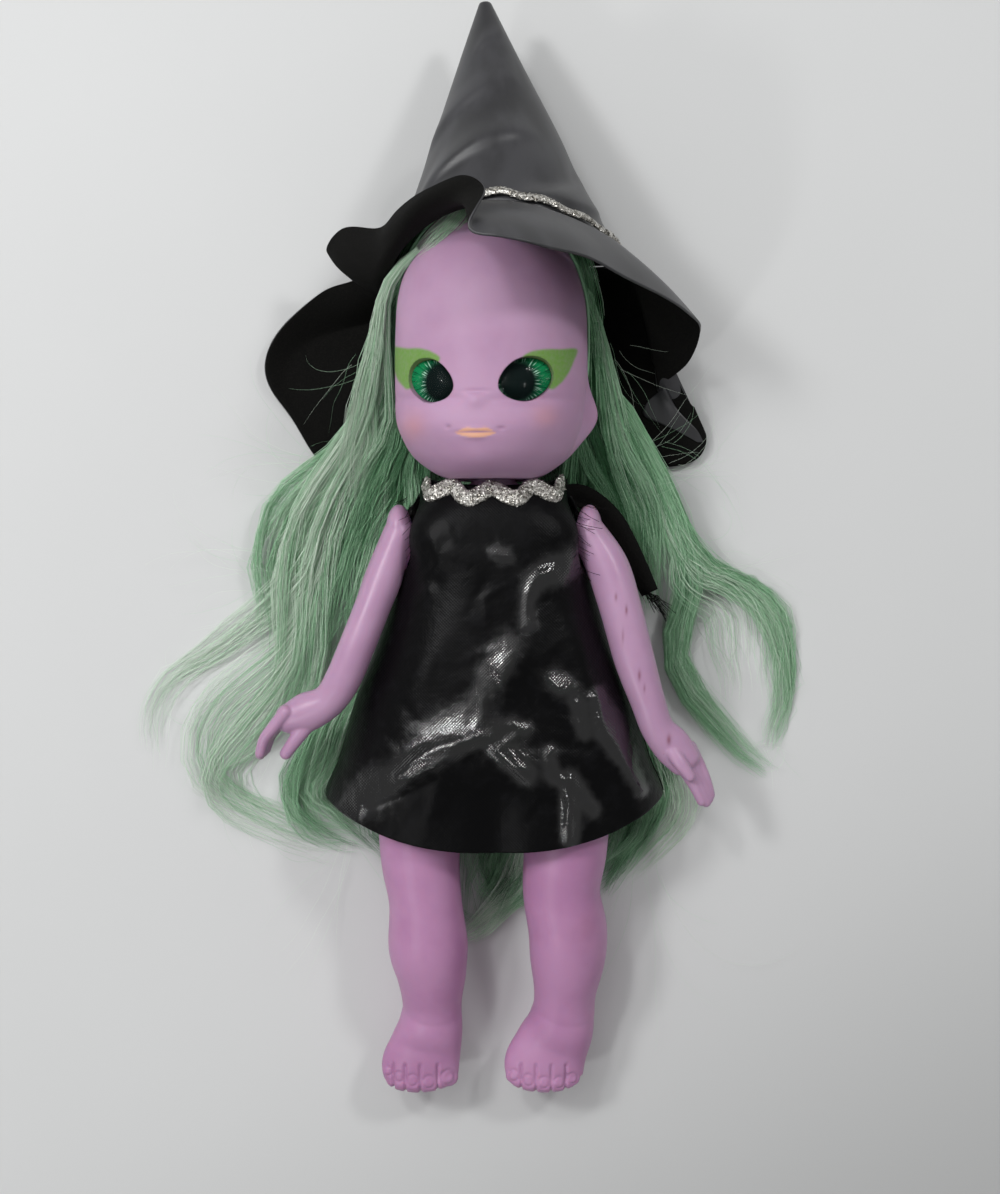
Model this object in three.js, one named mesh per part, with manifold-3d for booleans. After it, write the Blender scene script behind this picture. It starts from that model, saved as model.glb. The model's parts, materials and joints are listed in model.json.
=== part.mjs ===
// Witch doll lying on its back: a vinyl body with plug-in limbs and a turning head, inset eyes,
// long rooted hair, a sleeveless dress with a zigzag trim, and a pointed hat with a ruffled brim.
// Millimetres. +Z is up from the table, +Y points to the hat's tip, +X is the doll's left side.

import * as THREE from 'three';
import { mergeVertices } from 'three/addons/utils/BufferGeometryUtils.js';
import Module from 'manifold-3d';

const wasm = await Module();
wasm.setup();

// Fits and sheet thicknesses
const FIT = 0.3; // gap between pieces that touch
const CLOTH = 0.8; // dress cloth with its hem fold
const BRIM_CLOTH = 0.8;
const CONE_WALL = 0.9;

// Torso
const NECK_Y = 26; // where the neck leaves the shoulders
const BODY_Z = 19.5; // middle of the torso above the table
const TORSO_LENGTH = 67;
const CHEST_HALF = 18.5;
const BELLY_HALF = 18.8;
const CHEST_HALF_DEPTH = 12;
const BELLY_HALF_DEPTH = 13;
const BODY_WALL = 2;

// Neck and head
const NECK_Z = 24; // the head's turning axis above the table
const NECK_RADIUS = 5;
const KNOB_OVERHANG = 2.2; // how far the neck knob grips past the head's opening
const KNOB_HEIGHT = 2.6;
const CHIN_GAP = 1; // between shoulders and the head's underside
const HEAD_HEIGHT = 65;
const HEAD_HALF_WIDTH = 22;
const HEAD_FRONT = 25.4; // from the neck axis to the face
const HEAD_BACK = 18; // from the neck axis to the back of the head
const HEAD_WALL = 2.4;
const HEAD_TURN = THREE.MathUtils.degToRad(-9); // the face looks slightly to the doll's right
const EAR_HEIGHT = 13;
const EAR_LEVEL = 14.3; // above the chin, as for the nose and the mouth
const NOSE_LEVEL = 18.2;
const NOSE_RADIUS = 2.3;
const MOUTH_LEVEL = 9.4;
const MOUTH_HALF = 4.6;
const LIP_HALF = 0.9;

// Eyes
const EYE_SPREAD = 10.7; // from the middle of the face
const EYE_LEVEL = 21.2; // above the chin
const EYE_HALF_LONG = 6.3;
const EYE_HALF_TALL = 4.25;
const EYE_TILT = THREE.MathUtils.degToRad(19); // the outer corners sit higher
const EYE_YAW = THREE.MathUtils.degToRad(27); // the eyes follow the cheeks round
const EYE_SINK = 0.5; // the eyes sit this far into the face
const LENS_BULGE = 1.9;
const IRIS_THICK = 0.5;
const CUP_DEPTH = 2.8;
const CUP_FLANGE = 1.1;

// Limb plugs
const STEM_RADIUS = 3;
const FLANGE_RADIUS = 4.2;
const FLANGE_THICK = 1.2;

// Arms
const SHOULDER_DROP = 10; // shoulder axis below the neck
const SHOULDER_Z = 20.5;
const SHOULDER_RADIUS = 6.3;

// Legs
const HIP_DROP = 57; // hip axis below the neck
const HIP_Z = 18;
const PELVIS_HALF = 8; // flat sides that the legs turn against
const LEG_LENGTH = 85; // hip axis to the toes
const THIGH_RADIUS = 10.4;
const FOOT_HALF_WIDTH = 9.3;
const HEEL_RADIUS = 6.2;
const TOE_LENGTH = 7.5;
const TOE_TOP = 14.6; // above the table: the feet point along the legs

// Dress
const DRESS_TOP_Y = 25.5; // the neckline in the middle
const NECK_RISE = 2.4; // how much higher it is at the shoulders
const DRESS_BACK_Z = 5.1; // the cloth under the doll's back
const DRESS_EASE = 1.2; // room between the dress and the body
const HEM_Y = -58.5; // the hem at the middle of the front
const HEM_RISE = 12; // the hem is higher at the side seams
const HEM_HALF = 42;
const ARMHOLE_RADIUS = 9;
const ARMHOLE_DROP = 1.6; // its middle below the shoulder axis
const TRIM_PITCH = 10;
const TRIM_WAVE = 1.7;
const TRIM_HALF = 1.85; // half the width of the zigzag band
const TRIM_THICK = 1;
const HOOK_WIRE = 0.7;
const HOOK_RADIUS = 2.3;

// Hair
const HAIR_THICK = 1.5; // over the scalp
const HAIRLINE_SLOPE = THREE.MathUtils.degToRad(22); // the scalp edge leans back from the ears
const NAPE_LEVEL = 13; // where the hair starts above the chin
const PAD_TOP = 4.5; // the hair that the doll lies on
const PAD_BOTTOM = 0.1;
const PAD_TAPER = 0.97; // how far its rounded rim draws in

// Hat
const HAT_HEIGHT = 57;
const HAT_EASE = 5.2; // room between the hair and the inside of the hat
const HAT_SINK = 9; // how far the crown reaches into the hat
const HAT_RAISE = 2; // the hat sits a little towards the face
const HAT_SHIFT = 1.8; // the hat sits a little towards the doll's left
const HAT_LEAN = THREE.MathUtils.degToRad(3.9); // the tip leans to the doll's right
const HAT_PITCH = THREE.MathUtils.degToRad(-9); // and back towards the table
const HAT_TIP = 0.9; // radius of the blunt tip
const FOOT_DIP = 8; // how much lower the cone's foot is at the sides than at the front and back
const FOOT_PEAK = -0.26; // where it is highest, round from the front
const HAT_TRIM_HALF = 1;
const HAT_TRIM_WAVE = 0.5;
const HAT_TRIM_WAVES = 14;

// Worked out from the sizes above
const SHOULDER_Y = NECK_Y - SHOULDER_DROP;
const HIP_Y = NECK_Y - HIP_DROP;
const CHIN_Y = NECK_Y + CHIN_GAP;
const TOE_Y = HIP_Y - LEG_LENGTH;
const HIP_RADIUS = THIGH_RADIUS + 0.6;

const X = new THREE.Vector3(1, 0, 0);
const Y = new THREE.Vector3(0, 1, 0);
const Z = new THREE.Vector3(0, 0, 1);
const SIDES = { left: 1, right: -1 };

const MATERIALS = {
  skin: finish('#b48cb4', 0.5),
  legs: finish('#ba84b2', 0.5),
  cloth: finish('#08080a', 0.3),
  felt: finish('#2b2b2d', 0.5),
  silver: finish('#c4c0b4', 0.35, 0.6),
  hair: finish('#9fb9a2', 0.6),
  lens: finish('#bfe0cc', 0.05),
  iris: finish('#0f7a4e', 0.25),
  cup: finish('#12201a', 0.4),
  steel: finish('#8c8c90', 0.35, 1),
};

/** A plain finish from a colour, a roughness and a metalness. */
function finish(color, roughness, metalness = 0) {
  return new THREE.MeshStandardMaterial({ color, roughness, metalness });
}

/** A closed geometry from points and triangles, turned so that its faces point out. */
function closedGeometry(points, faces) {
  let volume = 0;
  for (let f = 0; f < faces.length; f += 3) {
    const [a, b, c] = [points[faces[f]], points[faces[f + 1]], points[faces[f + 2]]];
    volume += a.dot(new THREE.Vector3().crossVectors(b, c));
  }
  const outward = volume < 0 ? faces.slice().reverse() : faces;
  const geometry = new THREE.BufferGeometry().setFromPoints(points);
  geometry.setIndex(outward);
  return geometry;
}

/** A closed skin through rings of points, with a fan over each end. */
function loft(rings) {
  const count = rings[0].length;
  const points = rings.flat();
  const faces = [];
  for (let r = 0; r + 1 < rings.length; r++) {
    for (let s = 0; s < count; s++) {
      const a = r * count + s;
      const b = r * count + ((s + 1) % count);
      faces.push(a, b, b + count, a, b + count, a + count);
    }
  }
  [0, rings.length - 1].forEach((r) => {
    const hub = points.length;
    points.push(middle(rings[r]));
    for (let s = 0; s < count; s++) {
      const a = r * count + s;
      const b = r * count + ((s + 1) % count);
      faces.push(...(r === 0 ? [b, a, hub] : [a, b, hub]));
    }
  });
  return closedGeometry(points, faces);
}

/** The middle of a set of points. */
function middle(points) {
  const sum = points.reduce((total, p) => total.add(p), new THREE.Vector3());
  return sum.divideScalar(points.length);
}

/** A thin solid between two grids of points, given as rows; closed joins its first and last columns. */
function sheet(outer, inner, closed = false) {
  const rows = outer.length;
  const columns = outer[0].length;
  const points = [...outer.flat(), ...inner.flat()];
  const under = rows * columns;
  const faces = [];
  const quad = (a, b, c, d) => faces.push(a, b, c, a, c, d);
  const spans = closed ? columns : columns - 1;
  for (let r = 0; r + 1 < rows; r++) {
    for (let c = 0; c < spans; c++) {
      const a = r * columns + c;
      const b = r * columns + ((c + 1) % columns);
      quad(a, b, b + columns, a + columns);
      quad(under + a + columns, under + b + columns, under + b, under + a);
    }
  }
  for (let c = 0; c < spans; c++) {
    const a = c;
    const b = (c + 1) % columns;
    const end = (rows - 1) * columns;
    quad(b, a, under + a, under + b);
    quad(end + a, end + b, under + end + b, under + end + a);
  }
  if (!closed) {
    for (let r = 0; r + 1 < rows; r++) {
      const a = r * columns;
      const b = a + columns - 1;
      quad(a, a + columns, under + a + columns, under + a);
      quad(b + columns, b, under + b, under + b + columns);
    }
  }
  return closedGeometry(points, faces);
}

/** Rows of numbers resampled to a smooth run of count rows that passes through them. */
function smoothRows(rows, count) {
  const last = rows.length - 1;
  return Array.from({ length: count }, (_, n) => {
    const at = (n / (count - 1)) * last;
    const i = Math.min(Math.floor(at), last - 1);
    const near = [i - 1, i, i + 1, i + 2].map((k) => rows[THREE.MathUtils.clamp(k, 0, last)]);
    return near[1].map((_, c) => between(near.map((row) => row[c]), at - i));
  });
}

/** A smooth value between the second and third of four values. */
function between([a, b, c, d], t) {
  return b + 0.5 * t * (c - a + t * (2 * a - 5 * b + 4 * c - d + t * (3 * (b - c) + d - a)));
}

/** The row at a place in rows that are sorted by their first number, from high to low. */
function rowAt(rows, place) {
  const next = rows.findIndex((row) => row[0] <= place);
  if (next === 0) return rows[0];
  if (next < 0) return rows.at(-1);
  const [above, below] = [rows[next - 1], rows[next]];
  const t = (above[0] - place) / (above[0] - below[0]);
  return above.map((value, c) => THREE.MathUtils.lerp(value, below[c], t));
}

/** An oval ring about a centre, spanned by two directions. */
function oval(centre, across, out, halfAcross, halfOut, count) {
  return Array.from({ length: count }, (_, n) => {
    const angle = (n / count) * 2 * Math.PI;
    return centre
      .clone()
      .addScaledVector(across, halfAcross * Math.cos(angle))
      .addScaledVector(out, halfOut * Math.sin(angle));
  });
}

/** A solid along rows of x, y, z, half width and half thickness, with round ends. */
function limb(rows, count, up = Z) {
  const centres = rows.map(([x, y, z]) => new THREE.Vector3(x, y, z));
  const last = rows.length - 1;
  const rings = [];
  const ringAt = (i, along, shift, scale) => {
    const across = new THREE.Vector3().crossVectors(along, up).normalize();
    const out = new THREE.Vector3().crossVectors(across, along);
    const centre = centres[i].clone().addScaledVector(along, shift);
    rings.push(oval(centre, across, out, rows[i][3] * scale, rows[i][4] * scale, count));
  };
  rows.forEach((row, i) => {
    const from = centres[Math.max(i - 1, 0)];
    const to = centres[Math.min(i + 1, last)];
    const along = to.clone().sub(from).normalize();
    const dome = Math.min(row[3], row[4]);
    if (i === 0) ringAt(i, along, -dome * 0.8, 0.5);
    ringAt(i, along, 0, 1);
    if (i === last) ringAt(i, along, dome * 0.8, 0.5);
  });
  return loft(rings);
}

/** A round bar along X from one x to another. */
function barAlongX(fromX, toX, radius, y, z, count = 14) {
  const length = Math.abs(toX - fromX);
  return new THREE.CylinderGeometry(radius, radius, length, count)
    .rotateZ(Math.PI / 2)
    .translate((fromX + toX) / 2, y, z);
}

/** A box from its lowest to its highest corner. */
function boxBetween(low, high) {
  const size = high.clone().sub(low);
  const centre = low.clone().add(high).multiplyScalar(0.5);
  return new THREE.BoxGeometry(size.x, size.y, size.z).translate(centre.x, centre.y, centre.z);
}

/** An egg-shaped solid. */
function egg(centre, halfX, halfY, halfZ, around = 12, rows = 8) {
  return new THREE.SphereGeometry(1, around, rows)
    .scale(halfX, halfY, halfZ)
    .translate(centre.x, centre.y, centre.z);
}

/** A solid for joining and cutting. */
function solid(geometry) {
  const bare = geometry.clone();
  bare.deleteAttribute('normal');
  bare.deleteAttribute('uv');
  const merged = mergeVertices(bare, 1e-4);
  return new wasm.Manifold(
    new wasm.Mesh({
      numProp: 3,
      vertProperties: new Float32Array(merged.attributes.position.array),
      triVerts: new Uint32Array(merged.index.array),
    }),
  );
}

/** One geometry from pieces that are joined, less the pieces that are cut away. */
function carve(joined, cut = []) {
  let result = solid(joined[0]);
  joined.slice(1).forEach((piece) => (result = result.add(solid(piece))));
  cut.forEach((piece) => (result = result.subtract(solid(piece))));
  const mesh = result.getMesh();
  const geometry = new THREE.BufferGeometry();
  geometry.setAttribute('position', new THREE.BufferAttribute(mesh.vertProperties, 3));
  geometry.setIndex(new THREE.BufferAttribute(mesh.triVerts, 1));
  return geometry;
}

/** Adds a named piece to a group. */
function place(group, name, geometry, material) {
  const mesh = new THREE.Mesh(geometry, material);
  mesh.name = name;
  group.add(mesh);
  return mesh;
}

/** A sub-group at a place. */
function groupAt(parent, x, y, z) {
  const group = new THREE.Group();
  group.position.set(x, y, z);
  parent.add(group);
  return group;
}

// Torso: a hollow shell with a knob for the head, and round holes for the limbs' plugs

/** Rings of the torso, drawn in by a wall. */
function torsoRings(inset, count) {
  const bottom = NECK_Y - TORSO_LENGTH;
  const rows = smoothRows(
    [
      [NECK_Y, NECK_RADIUS + 3.5, 8],
      [NECK_Y - 4, 0.76 * CHEST_HALF, 0.84 * CHEST_HALF_DEPTH],
      [SHOULDER_Y, CHEST_HALF, CHEST_HALF_DEPTH],
      [SHOULDER_Y - 14, CHEST_HALF, BELLY_HALF_DEPTH],
      [HIP_Y + 22, BELLY_HALF, BELLY_HALF_DEPTH],
      [HIP_Y + 9, BELLY_HALF - 1, BELLY_HALF_DEPTH - 1.4],
      [HIP_Y, 0.8 * BELLY_HALF, BELLY_HALF_DEPTH - 2.5],
      [bottom, 0.45 * BELLY_HALF, 7],
    ],
    12,
  );
  const pelvis = PELVIS_HALF - BODY_WALL;
  return rows.map(([y, halfWidth, halfDepth]) => {
    const share = (NECK_Y - y) / TORSO_LENGTH;
    const low = y < HIP_Y + HIP_RADIUS + 2 * BODY_WALL;
    const across = inset && low ? Math.min(halfWidth - inset, pelvis) : halfWidth - inset;
    const centre = new THREE.Vector3(0, y - inset * (1 - 2 * share), BODY_Z);
    return oval(centre, X, Z, across, halfDepth - inset, count);
  });
}

/** The neck stub with the knob that holds the head on. */
function neckStub() {
  const seat = CHIN_Y + HEAD_WALL + FIT + 1.4;
  const knob = NECK_RADIUS + KNOB_OVERHANG;
  const profile = [
    [0, NECK_Y - 6],
    [NECK_RADIUS, NECK_Y - 6],
    [NECK_RADIUS, seat],
    [knob, seat + 0.4],
    [knob, seat + 0.6 * KNOB_HEIGHT],
    [0.7 * knob, seat + KNOB_HEIGHT],
    [0, seat + KNOB_HEIGHT],
  ];
  const points = profile.map(([r, y]) => new THREE.Vector2(r, y));
  return new THREE.LatheGeometry(points, 18).translate(0, 0, NECK_Z);
}

function buildTorso(group) {
  const bore = STEM_RADIUS + FIT;
  const cuts = [loft(torsoRings(BODY_WALL, 12))];
  Object.values(SIDES).forEach((side) => {
    const flank = side * PELVIS_HALF;
    const far = side * 3 * BELLY_HALF;
    const socket = side * 0.5 * CHEST_HALF;
    cuts.push(barAlongX(socket, side * 1.2 * CHEST_HALF, bore, SHOULDER_Y, SHOULDER_Z));
    cuts.push(barAlongX(side * (PELVIS_HALF - 2 * BODY_WALL), far, bore, HIP_Y, HIP_Z));
    cuts.push(barAlongX(flank, far, HIP_RADIUS + FIT, HIP_Y, HIP_Z, 24));
    const front = HIP_Z + 3 * BELLY_HALF_DEPTH;
    const low = new THREE.Vector3(Math.min(flank, far), TOE_Y, HIP_Z);
    const high = new THREE.Vector3(Math.max(flank, far), HIP_Y + HIP_RADIUS + FIT, front);
    cuts.push(boxBetween(low, high));
  });
  const joined = [loft(torsoRings(0, 16)), neckStub()];
  place(group, 'torso_shell', carve(joined, cuts), MATERIALS.skin);
}

// Limbs: one vinyl piece each, with a stem and a flange that snaps into the torso

/** The stem and flange along X: from the limb at seatX, through a wall, to a flange inside. */
function plug(side, seatX, wallInside, y, z) {
  const inside = wallInside - FIT;
  return [
    barAlongX(side * (seatX + 1), side * (inside - 0.5), STEM_RADIUS, y, z, 12),
    barAlongX(side * inside, side * (inside - FLANGE_THICK), FLANGE_RADIUS, y, z, 12),
  ];
}

// Each arm's middle line from the shoulder: out, down, forward, half width, half thickness
const ARM_LINES = {
  left: [
    [3.6, 0.5, 0, 5.2, 6],
    [7.6, -9, 1.5, 5, 5.4],
    [10.7, -19, 2.5, 4.9, 5.1],
    [13.8, -30.6, 2.5, 4.7, 4.8],
    [16.8, -39.8, 2, 4.1, 4.3],
    [19, -46.6, 1.5, 3.7, 3.8],
    [23, -52.6, 1, 4.6, 3],
    [25.6, -57, 0.5, 4.2, 2.6],
  ],
  right: [
    [3.6, 0, 0, 5, 6],
    [6.7, -11, 1.5, 4.4, 5.2],
    [9.3, -18, 2.5, 4.2, 5],
    [12.8, -27, 3, 4.2, 4.7],
    [16.3, -35.2, 2.5, 4.2, 4.4],
    [19.4, -40.5, 1.5, 3.8, 3.9],
    [25.2, -44.6, 0, 4.5, 3.1],
    [29.4, -47.2, -1, 4.1, 2.7],
  ],
};
const FINGERS = 4;
const FINGER_RADIUS = 1.15;
// Each thumb's line from the shoulder, and how far the fingers curl down and in past the palm
const THUMB_LINES = {
  left: [[20.5, -49.5, 3, 1.5, 1.5], [22.4, -54.4, 4.4, 1.5, 1.4], [24, -58.4, 4.2, 1.2, 1.2]],
  right: [[23, -45.2, 2, 1.7, 1.6], [26, -49.5, 1.8, 1.5, 1.4], [28.2, -53, 1, 1.2, 1.2]],
};
const FINGER_REACH = { left: [4.4, -6], right: [5.2, -4.2] };

/** Four fingers side by side from the end of the palm. */
function fingers(hand, side, palm, seatX) {
  const [out, down, forward, halfPalm] = palm;
  const [reachOut, reachDown] = FINGER_REACH[hand];
  const length = Math.hypot(reachOut, reachDown);
  return Array.from({ length: FINGERS }, (_, n) => {
    const slide = (n / (FINGERS - 1) - 0.5) * 2 * (halfPalm - FINGER_RADIUS);
    const shorter = 1 - 0.25 * Math.abs(n - 1.4) / FINGERS;
    const step = (share, drop) => [
      side * (seatX + out + (slide * -reachDown) / length + reachOut * share * shorter),
      SHOULDER_Y + down + (slide * reachOut) / length + reachDown * share * shorter,
      SHOULDER_Z + forward - drop,
      FINGER_RADIUS * (1.05 - 0.15 * share),
      FINGER_RADIUS * (1.1 - 0.2 * share),
    ];
    return limb([step(-0.3, 0), step(0.4, 0.3), step(1, 1.2)], 6);
  });
}

function buildArm(group, hand) {
  const side = SIDES[hand];
  const seatX = CHEST_HALF + FIT;
  const fromShoulder = ([out, down, forward, ...sizes]) => [
    side * (seatX + out),
    SHOULDER_Y + down,
    SHOULDER_Z + forward,
    ...sizes,
  ];
  const arm = limb(smoothRows(ARM_LINES[hand].map(fromShoulder), 11), 10);
  const thumb = limb(THUMB_LINES[hand].map(fromShoulder), 6);
  const shoulder = new THREE.Vector3(side * (seatX + 3.2), SHOULDER_Y, SHOULDER_Z);
  const dome = egg(shoulder, 5, SHOULDER_RADIUS, SHOULDER_RADIUS, 10, 7);
  const wallInside = CHEST_HALF - BODY_WALL - 1.3 * FLANGE_RADIUS;
  const stem = plug(side, seatX, wallInside, SHOULDER_Y, SHOULDER_Z);
  const joined = [arm, dome, thumb, ...fingers(hand, side, ARM_LINES[hand].at(-1), seatX)];
  const inner = new THREE.Vector3(Math.min(0, side * seatX), NECK_Y - 2 * LEG_LENGTH, 0);
  const outer = new THREE.Vector3(Math.max(0, side * seatX), 2 * NECK_Y, 3 * SHOULDER_Z);
  const bare = carve(joined, [boxBetween(inner, outer)]);
  place(group, `${hand}_arm`, carve([bare, ...stem]), MATERIALS.skin);
}

// Each leg's middle line: out from the thigh's middle, share of the leg's length, down from the hip,
// half width and half thickness as shares of the thigh's radius
const LEG_LINES = {
  left: [
    [-1.4, 0.02, 0, 0.87, 1],
    [-0.1, 0.2, 0.6, 0.92, 0.96],
    [-0.7, 0.33, 1.2, 0.94, 0.94],
    [-1.6, 0.45, 2, 0.875, 0.885],
    [-0.1, 0.56, 3, 0.895, 0.915],
    [-0.1, 0.645, 4.6, 0.855, 0.865],
    [-0.6, 0.742, 6.8, 0.71, 0.76],
    [-0.9, 0.8, 7.8, 0.71, 0.72],
  ],
  right: [
    [-1.4, 0.02, 0, 0.87, 1],
    [0, 0.2, 0.6, 0.92, 0.96],
    [-0.1, 0.353, 1.4, 0.895, 0.925],
    [-1.3, 0.478, 2.2, 0.83, 0.875],
    [-1.9, 0.603, 3.6, 0.905, 0.915],
    [-2.6, 0.687, 5.4, 0.8, 0.84],
    [-2.7, 0.756, 7.1, 0.69, 0.76],
    [-2.7, 0.8, 7.8, 0.675, 0.72],
  ],
};
// Each foot from ankle to ball, in the same way, with its half width as a share of the foot's
const FOOT_LINES = {
  left: [
    [-1.1, 0.794, 8, 0.8, 7.4],
    [-1.8, 0.847, 8, 0.88, 7.3],
    [-3.9, 0.906, 8.2, 0.96, 5.4],
    [-5.6, 0.967, 7.6, 1, 4],
  ],
  right: [
    [-2.6, 0.794, 8, 0.77, 7.4],
    [-2.4, 0.847, 8, 0.83, 7.3],
    [-1.1, 0.906, 8.2, 0.94, 5.4],
    [-0.1, 0.965, 7.6, 0.99, 4],
  ],
};
// Toes from the big toe: out from the thigh's middle, past the leg's length, radius
const TOES = {
  left: [[-12.9, 0.1, 2.3], [-9.4, 1, 2.3], [-5.7, 1.5, 2.3], [-2.1, 1.6, 2.3], [1.2, 0.6, 2.2]],
  right: [[-6.6, 1.1, 2.9], [-2.1, 1.6, 2.5], [1.8, 0.9, 2.3], [5.1, -0.1, 2], [7.7, -1.6, 1.7]],
};
const HEEL_SHARE = 0.853; // of the leg's length

/** The foot, its heel and its five toes, pointing along the leg. */
function foot(leg, thighX) {
  const side = SIDES[leg];
  const down = (share) => HIP_Y - share * LEG_LENGTH;
  const instep = FOOT_LINES[leg].map(([out, share, drop, width, thick]) => [
    side * (thighX + out),
    down(share),
    HIP_Z - drop,
    width * FOOT_HALF_WIDTH,
    thick,
  ]);
  const heelZ = 0.9 * HEEL_RADIUS + 0.1;
  const heel = new THREE.Vector3(instep[0][0], down(HEEL_SHARE), heelZ);
  const toes = TOES[leg].map(([out, past, radius]) => {
    const x = side * (thighX + out);
    const tip = TOE_Y - past;
    const z = TOE_TOP - radius;
    return limb([[x, tip + TOE_LENGTH, z, radius, radius], [x, tip + 0.8 * radius, z, radius, radius]], 6);
  });
  const pad = egg(heel, HEEL_RADIUS, HEEL_RADIUS, heelZ - 0.1, 10, 6);
  return [limb(smoothRows(instep, 5), 12), pad, ...toes];
}

function buildLeg(group, leg) {
  const side = SIDES[leg];
  const seatX = PELVIS_HALF + FIT;
  const thighX = seatX + THIGH_RADIUS - 1.2;
  const rows = LEG_LINES[leg].map(([out, share, drop, width, thick]) => [
    side * (thighX + out),
    HIP_Y - share * LEG_LENGTH,
    HIP_Z - drop,
    width * THIGH_RADIUS,
    thick * THIGH_RADIUS,
  ]);
  const hip = new THREE.Vector3(side * thighX, HIP_Y, HIP_Z);
  const dome = egg(hip, THIGH_RADIUS - 0.6, HIP_RADIUS, HIP_RADIUS, 10, 7);
  const reach = 3 * THIGH_RADIUS;
  const seatEnd = HIP_Y - 0.24 * LEG_LENGTH;
  const inner = new THREE.Vector3(Math.min(-side * reach, side * seatX), seatEnd, -reach);
  const outer = new THREE.Vector3(Math.max(-side * reach, side * seatX), HIP_Y + reach, 3 * reach);
  const under = new THREE.Vector3(-2 * reach, TOE_Y - reach, -reach);
  const table = new THREE.Vector3(2 * reach, HIP_Y, 0);
  const cuts = [boxBetween(inner, outer), boxBetween(under, table)];
  const bare = carve([limb(smoothRows(rows, 12), 12), dome, ...foot(leg, thighX)], cuts);
  const stem = plug(side, seatX, PELVIS_HALF - 2 * BODY_WALL, HIP_Y, HIP_Z);
  place(group, `${leg}_leg`, carve([bare, ...stem]), MATERIALS.legs);
}

// Dress: a front panel and two back panels, sewn at the sides and hooked at the back of the neck

const BODICE_HALF = CHEST_HALF + DRESS_EASE + CLOTH;
const CHEST_TOP = BODY_Z + CHEST_HALF_DEPTH + DRESS_EASE + CLOTH;
const BELLY_TOP = BODY_Z + BELLY_HALF_DEPTH + DRESS_EASE + CLOTH;
const LAP_TOP = HIP_Z + HIP_RADIUS + 2 * DRESS_EASE + CLOTH;
// From the neckline to the hem: y, half width, top of the front, side seam's height, back's height
const DRESS_ROWS = smoothRows(
  [
    [DRESS_TOP_Y, BODICE_HALF - 3.5, CHEST_TOP - 2.6, 15, DRESS_BACK_Z + 1.6],
    [SHOULDER_Y + 2, BODICE_HALF, CHEST_TOP, 14, DRESS_BACK_Z + 0.4],
    [SHOULDER_Y - 12, BODICE_HALF + 1.5, BELLY_TOP, 11.4, DRESS_BACK_Z],
    [HIP_Y + 20, BODICE_HALF + 7.3, BELLY_TOP + 0.4, 9.4, DRESS_BACK_Z],
    [HIP_Y + 7, HEM_HALF - 9, Math.max(BELLY_TOP, LAP_TOP), 8.4, DRESS_BACK_Z],
    [HIP_Y - 7, HEM_HALF - 5, Math.max(BELLY_TOP, LAP_TOP), 7.8, DRESS_BACK_Z],
    [HEM_Y + HEM_RISE, HEM_HALF - 1.5, LAP_TOP, 7.2, DRESS_BACK_Z],
    [HEM_Y, HEM_HALF, LAP_TOP - 0.8, 7, DRESS_BACK_Z],
  ],
  29,
);

/** A point on the dress at a height y and an angle from the doll's left side seam, moved in by inset. */
function dressPoint(y, angle, inset) {
  const [, half, top, seam, back] = rowAt(DRESS_ROWS, y);
  const across = Math.cos(angle);
  const up = Math.sin(angle);
  const front = up >= 0;
  const power = front ? 0.84 : 0.62;
  const rise = front ? top - seam - inset - FIT / 2 : seam - back - inset - FIT / 2;
  const x = Math.sign(across) * (half - inset) * Math.abs(across) ** power;
  const z = seam + (front ? 1 : -1) * (FIT / 2 + rise * Math.abs(up) ** power);
  return new THREE.Vector3(x, y, z);
}

/** How far the neckline is above its middle at an angle round the dress. */
function neckRise(angle) {
  return angle >= 0 ? NECK_RISE * Math.cos(angle) ** 2 : NECK_RISE;
}

/** A grid of points on the dress between two angles. */
function dressGrid(fromAngle, toAngle, inset, columns, rows) {
  return Array.from({ length: rows }, (_, r) =>
    Array.from({ length: columns }, (_, c) => {
      const angle = THREE.MathUtils.lerp(fromAngle, toAngle, c / (columns - 1));
      const hem = HEM_Y + HEM_RISE * Math.cos(angle) ** 2;
      const top = DRESS_TOP_Y + neckRise(angle);
      return dressPoint(THREE.MathUtils.lerp(top, hem, r / (rows - 1)), angle, inset);
    }),
  );
}

/** A flap of cloth that lies behind the arm, cut in one with the back panel. */
function sleeveFlap(side) {
  const rows = [
    [side * (BODICE_HALF - 4), SHOULDER_Y + 5.4, 11.4, 3, CLOTH / 2],
    [side * (BODICE_HALF + 3), SHOULDER_Y + 3, 12.2, 3.2, CLOTH / 2],
    [side * (BODICE_HALF + 10), SHOULDER_Y - 6, 12.6, 3.4, CLOTH / 2],
    [side * (BODICE_HALF + 15), SHOULDER_Y - 16, 12.2, 2.6, CLOTH / 2],
  ];
  return limb(smoothRows(rows, 7), 8);
}

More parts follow.
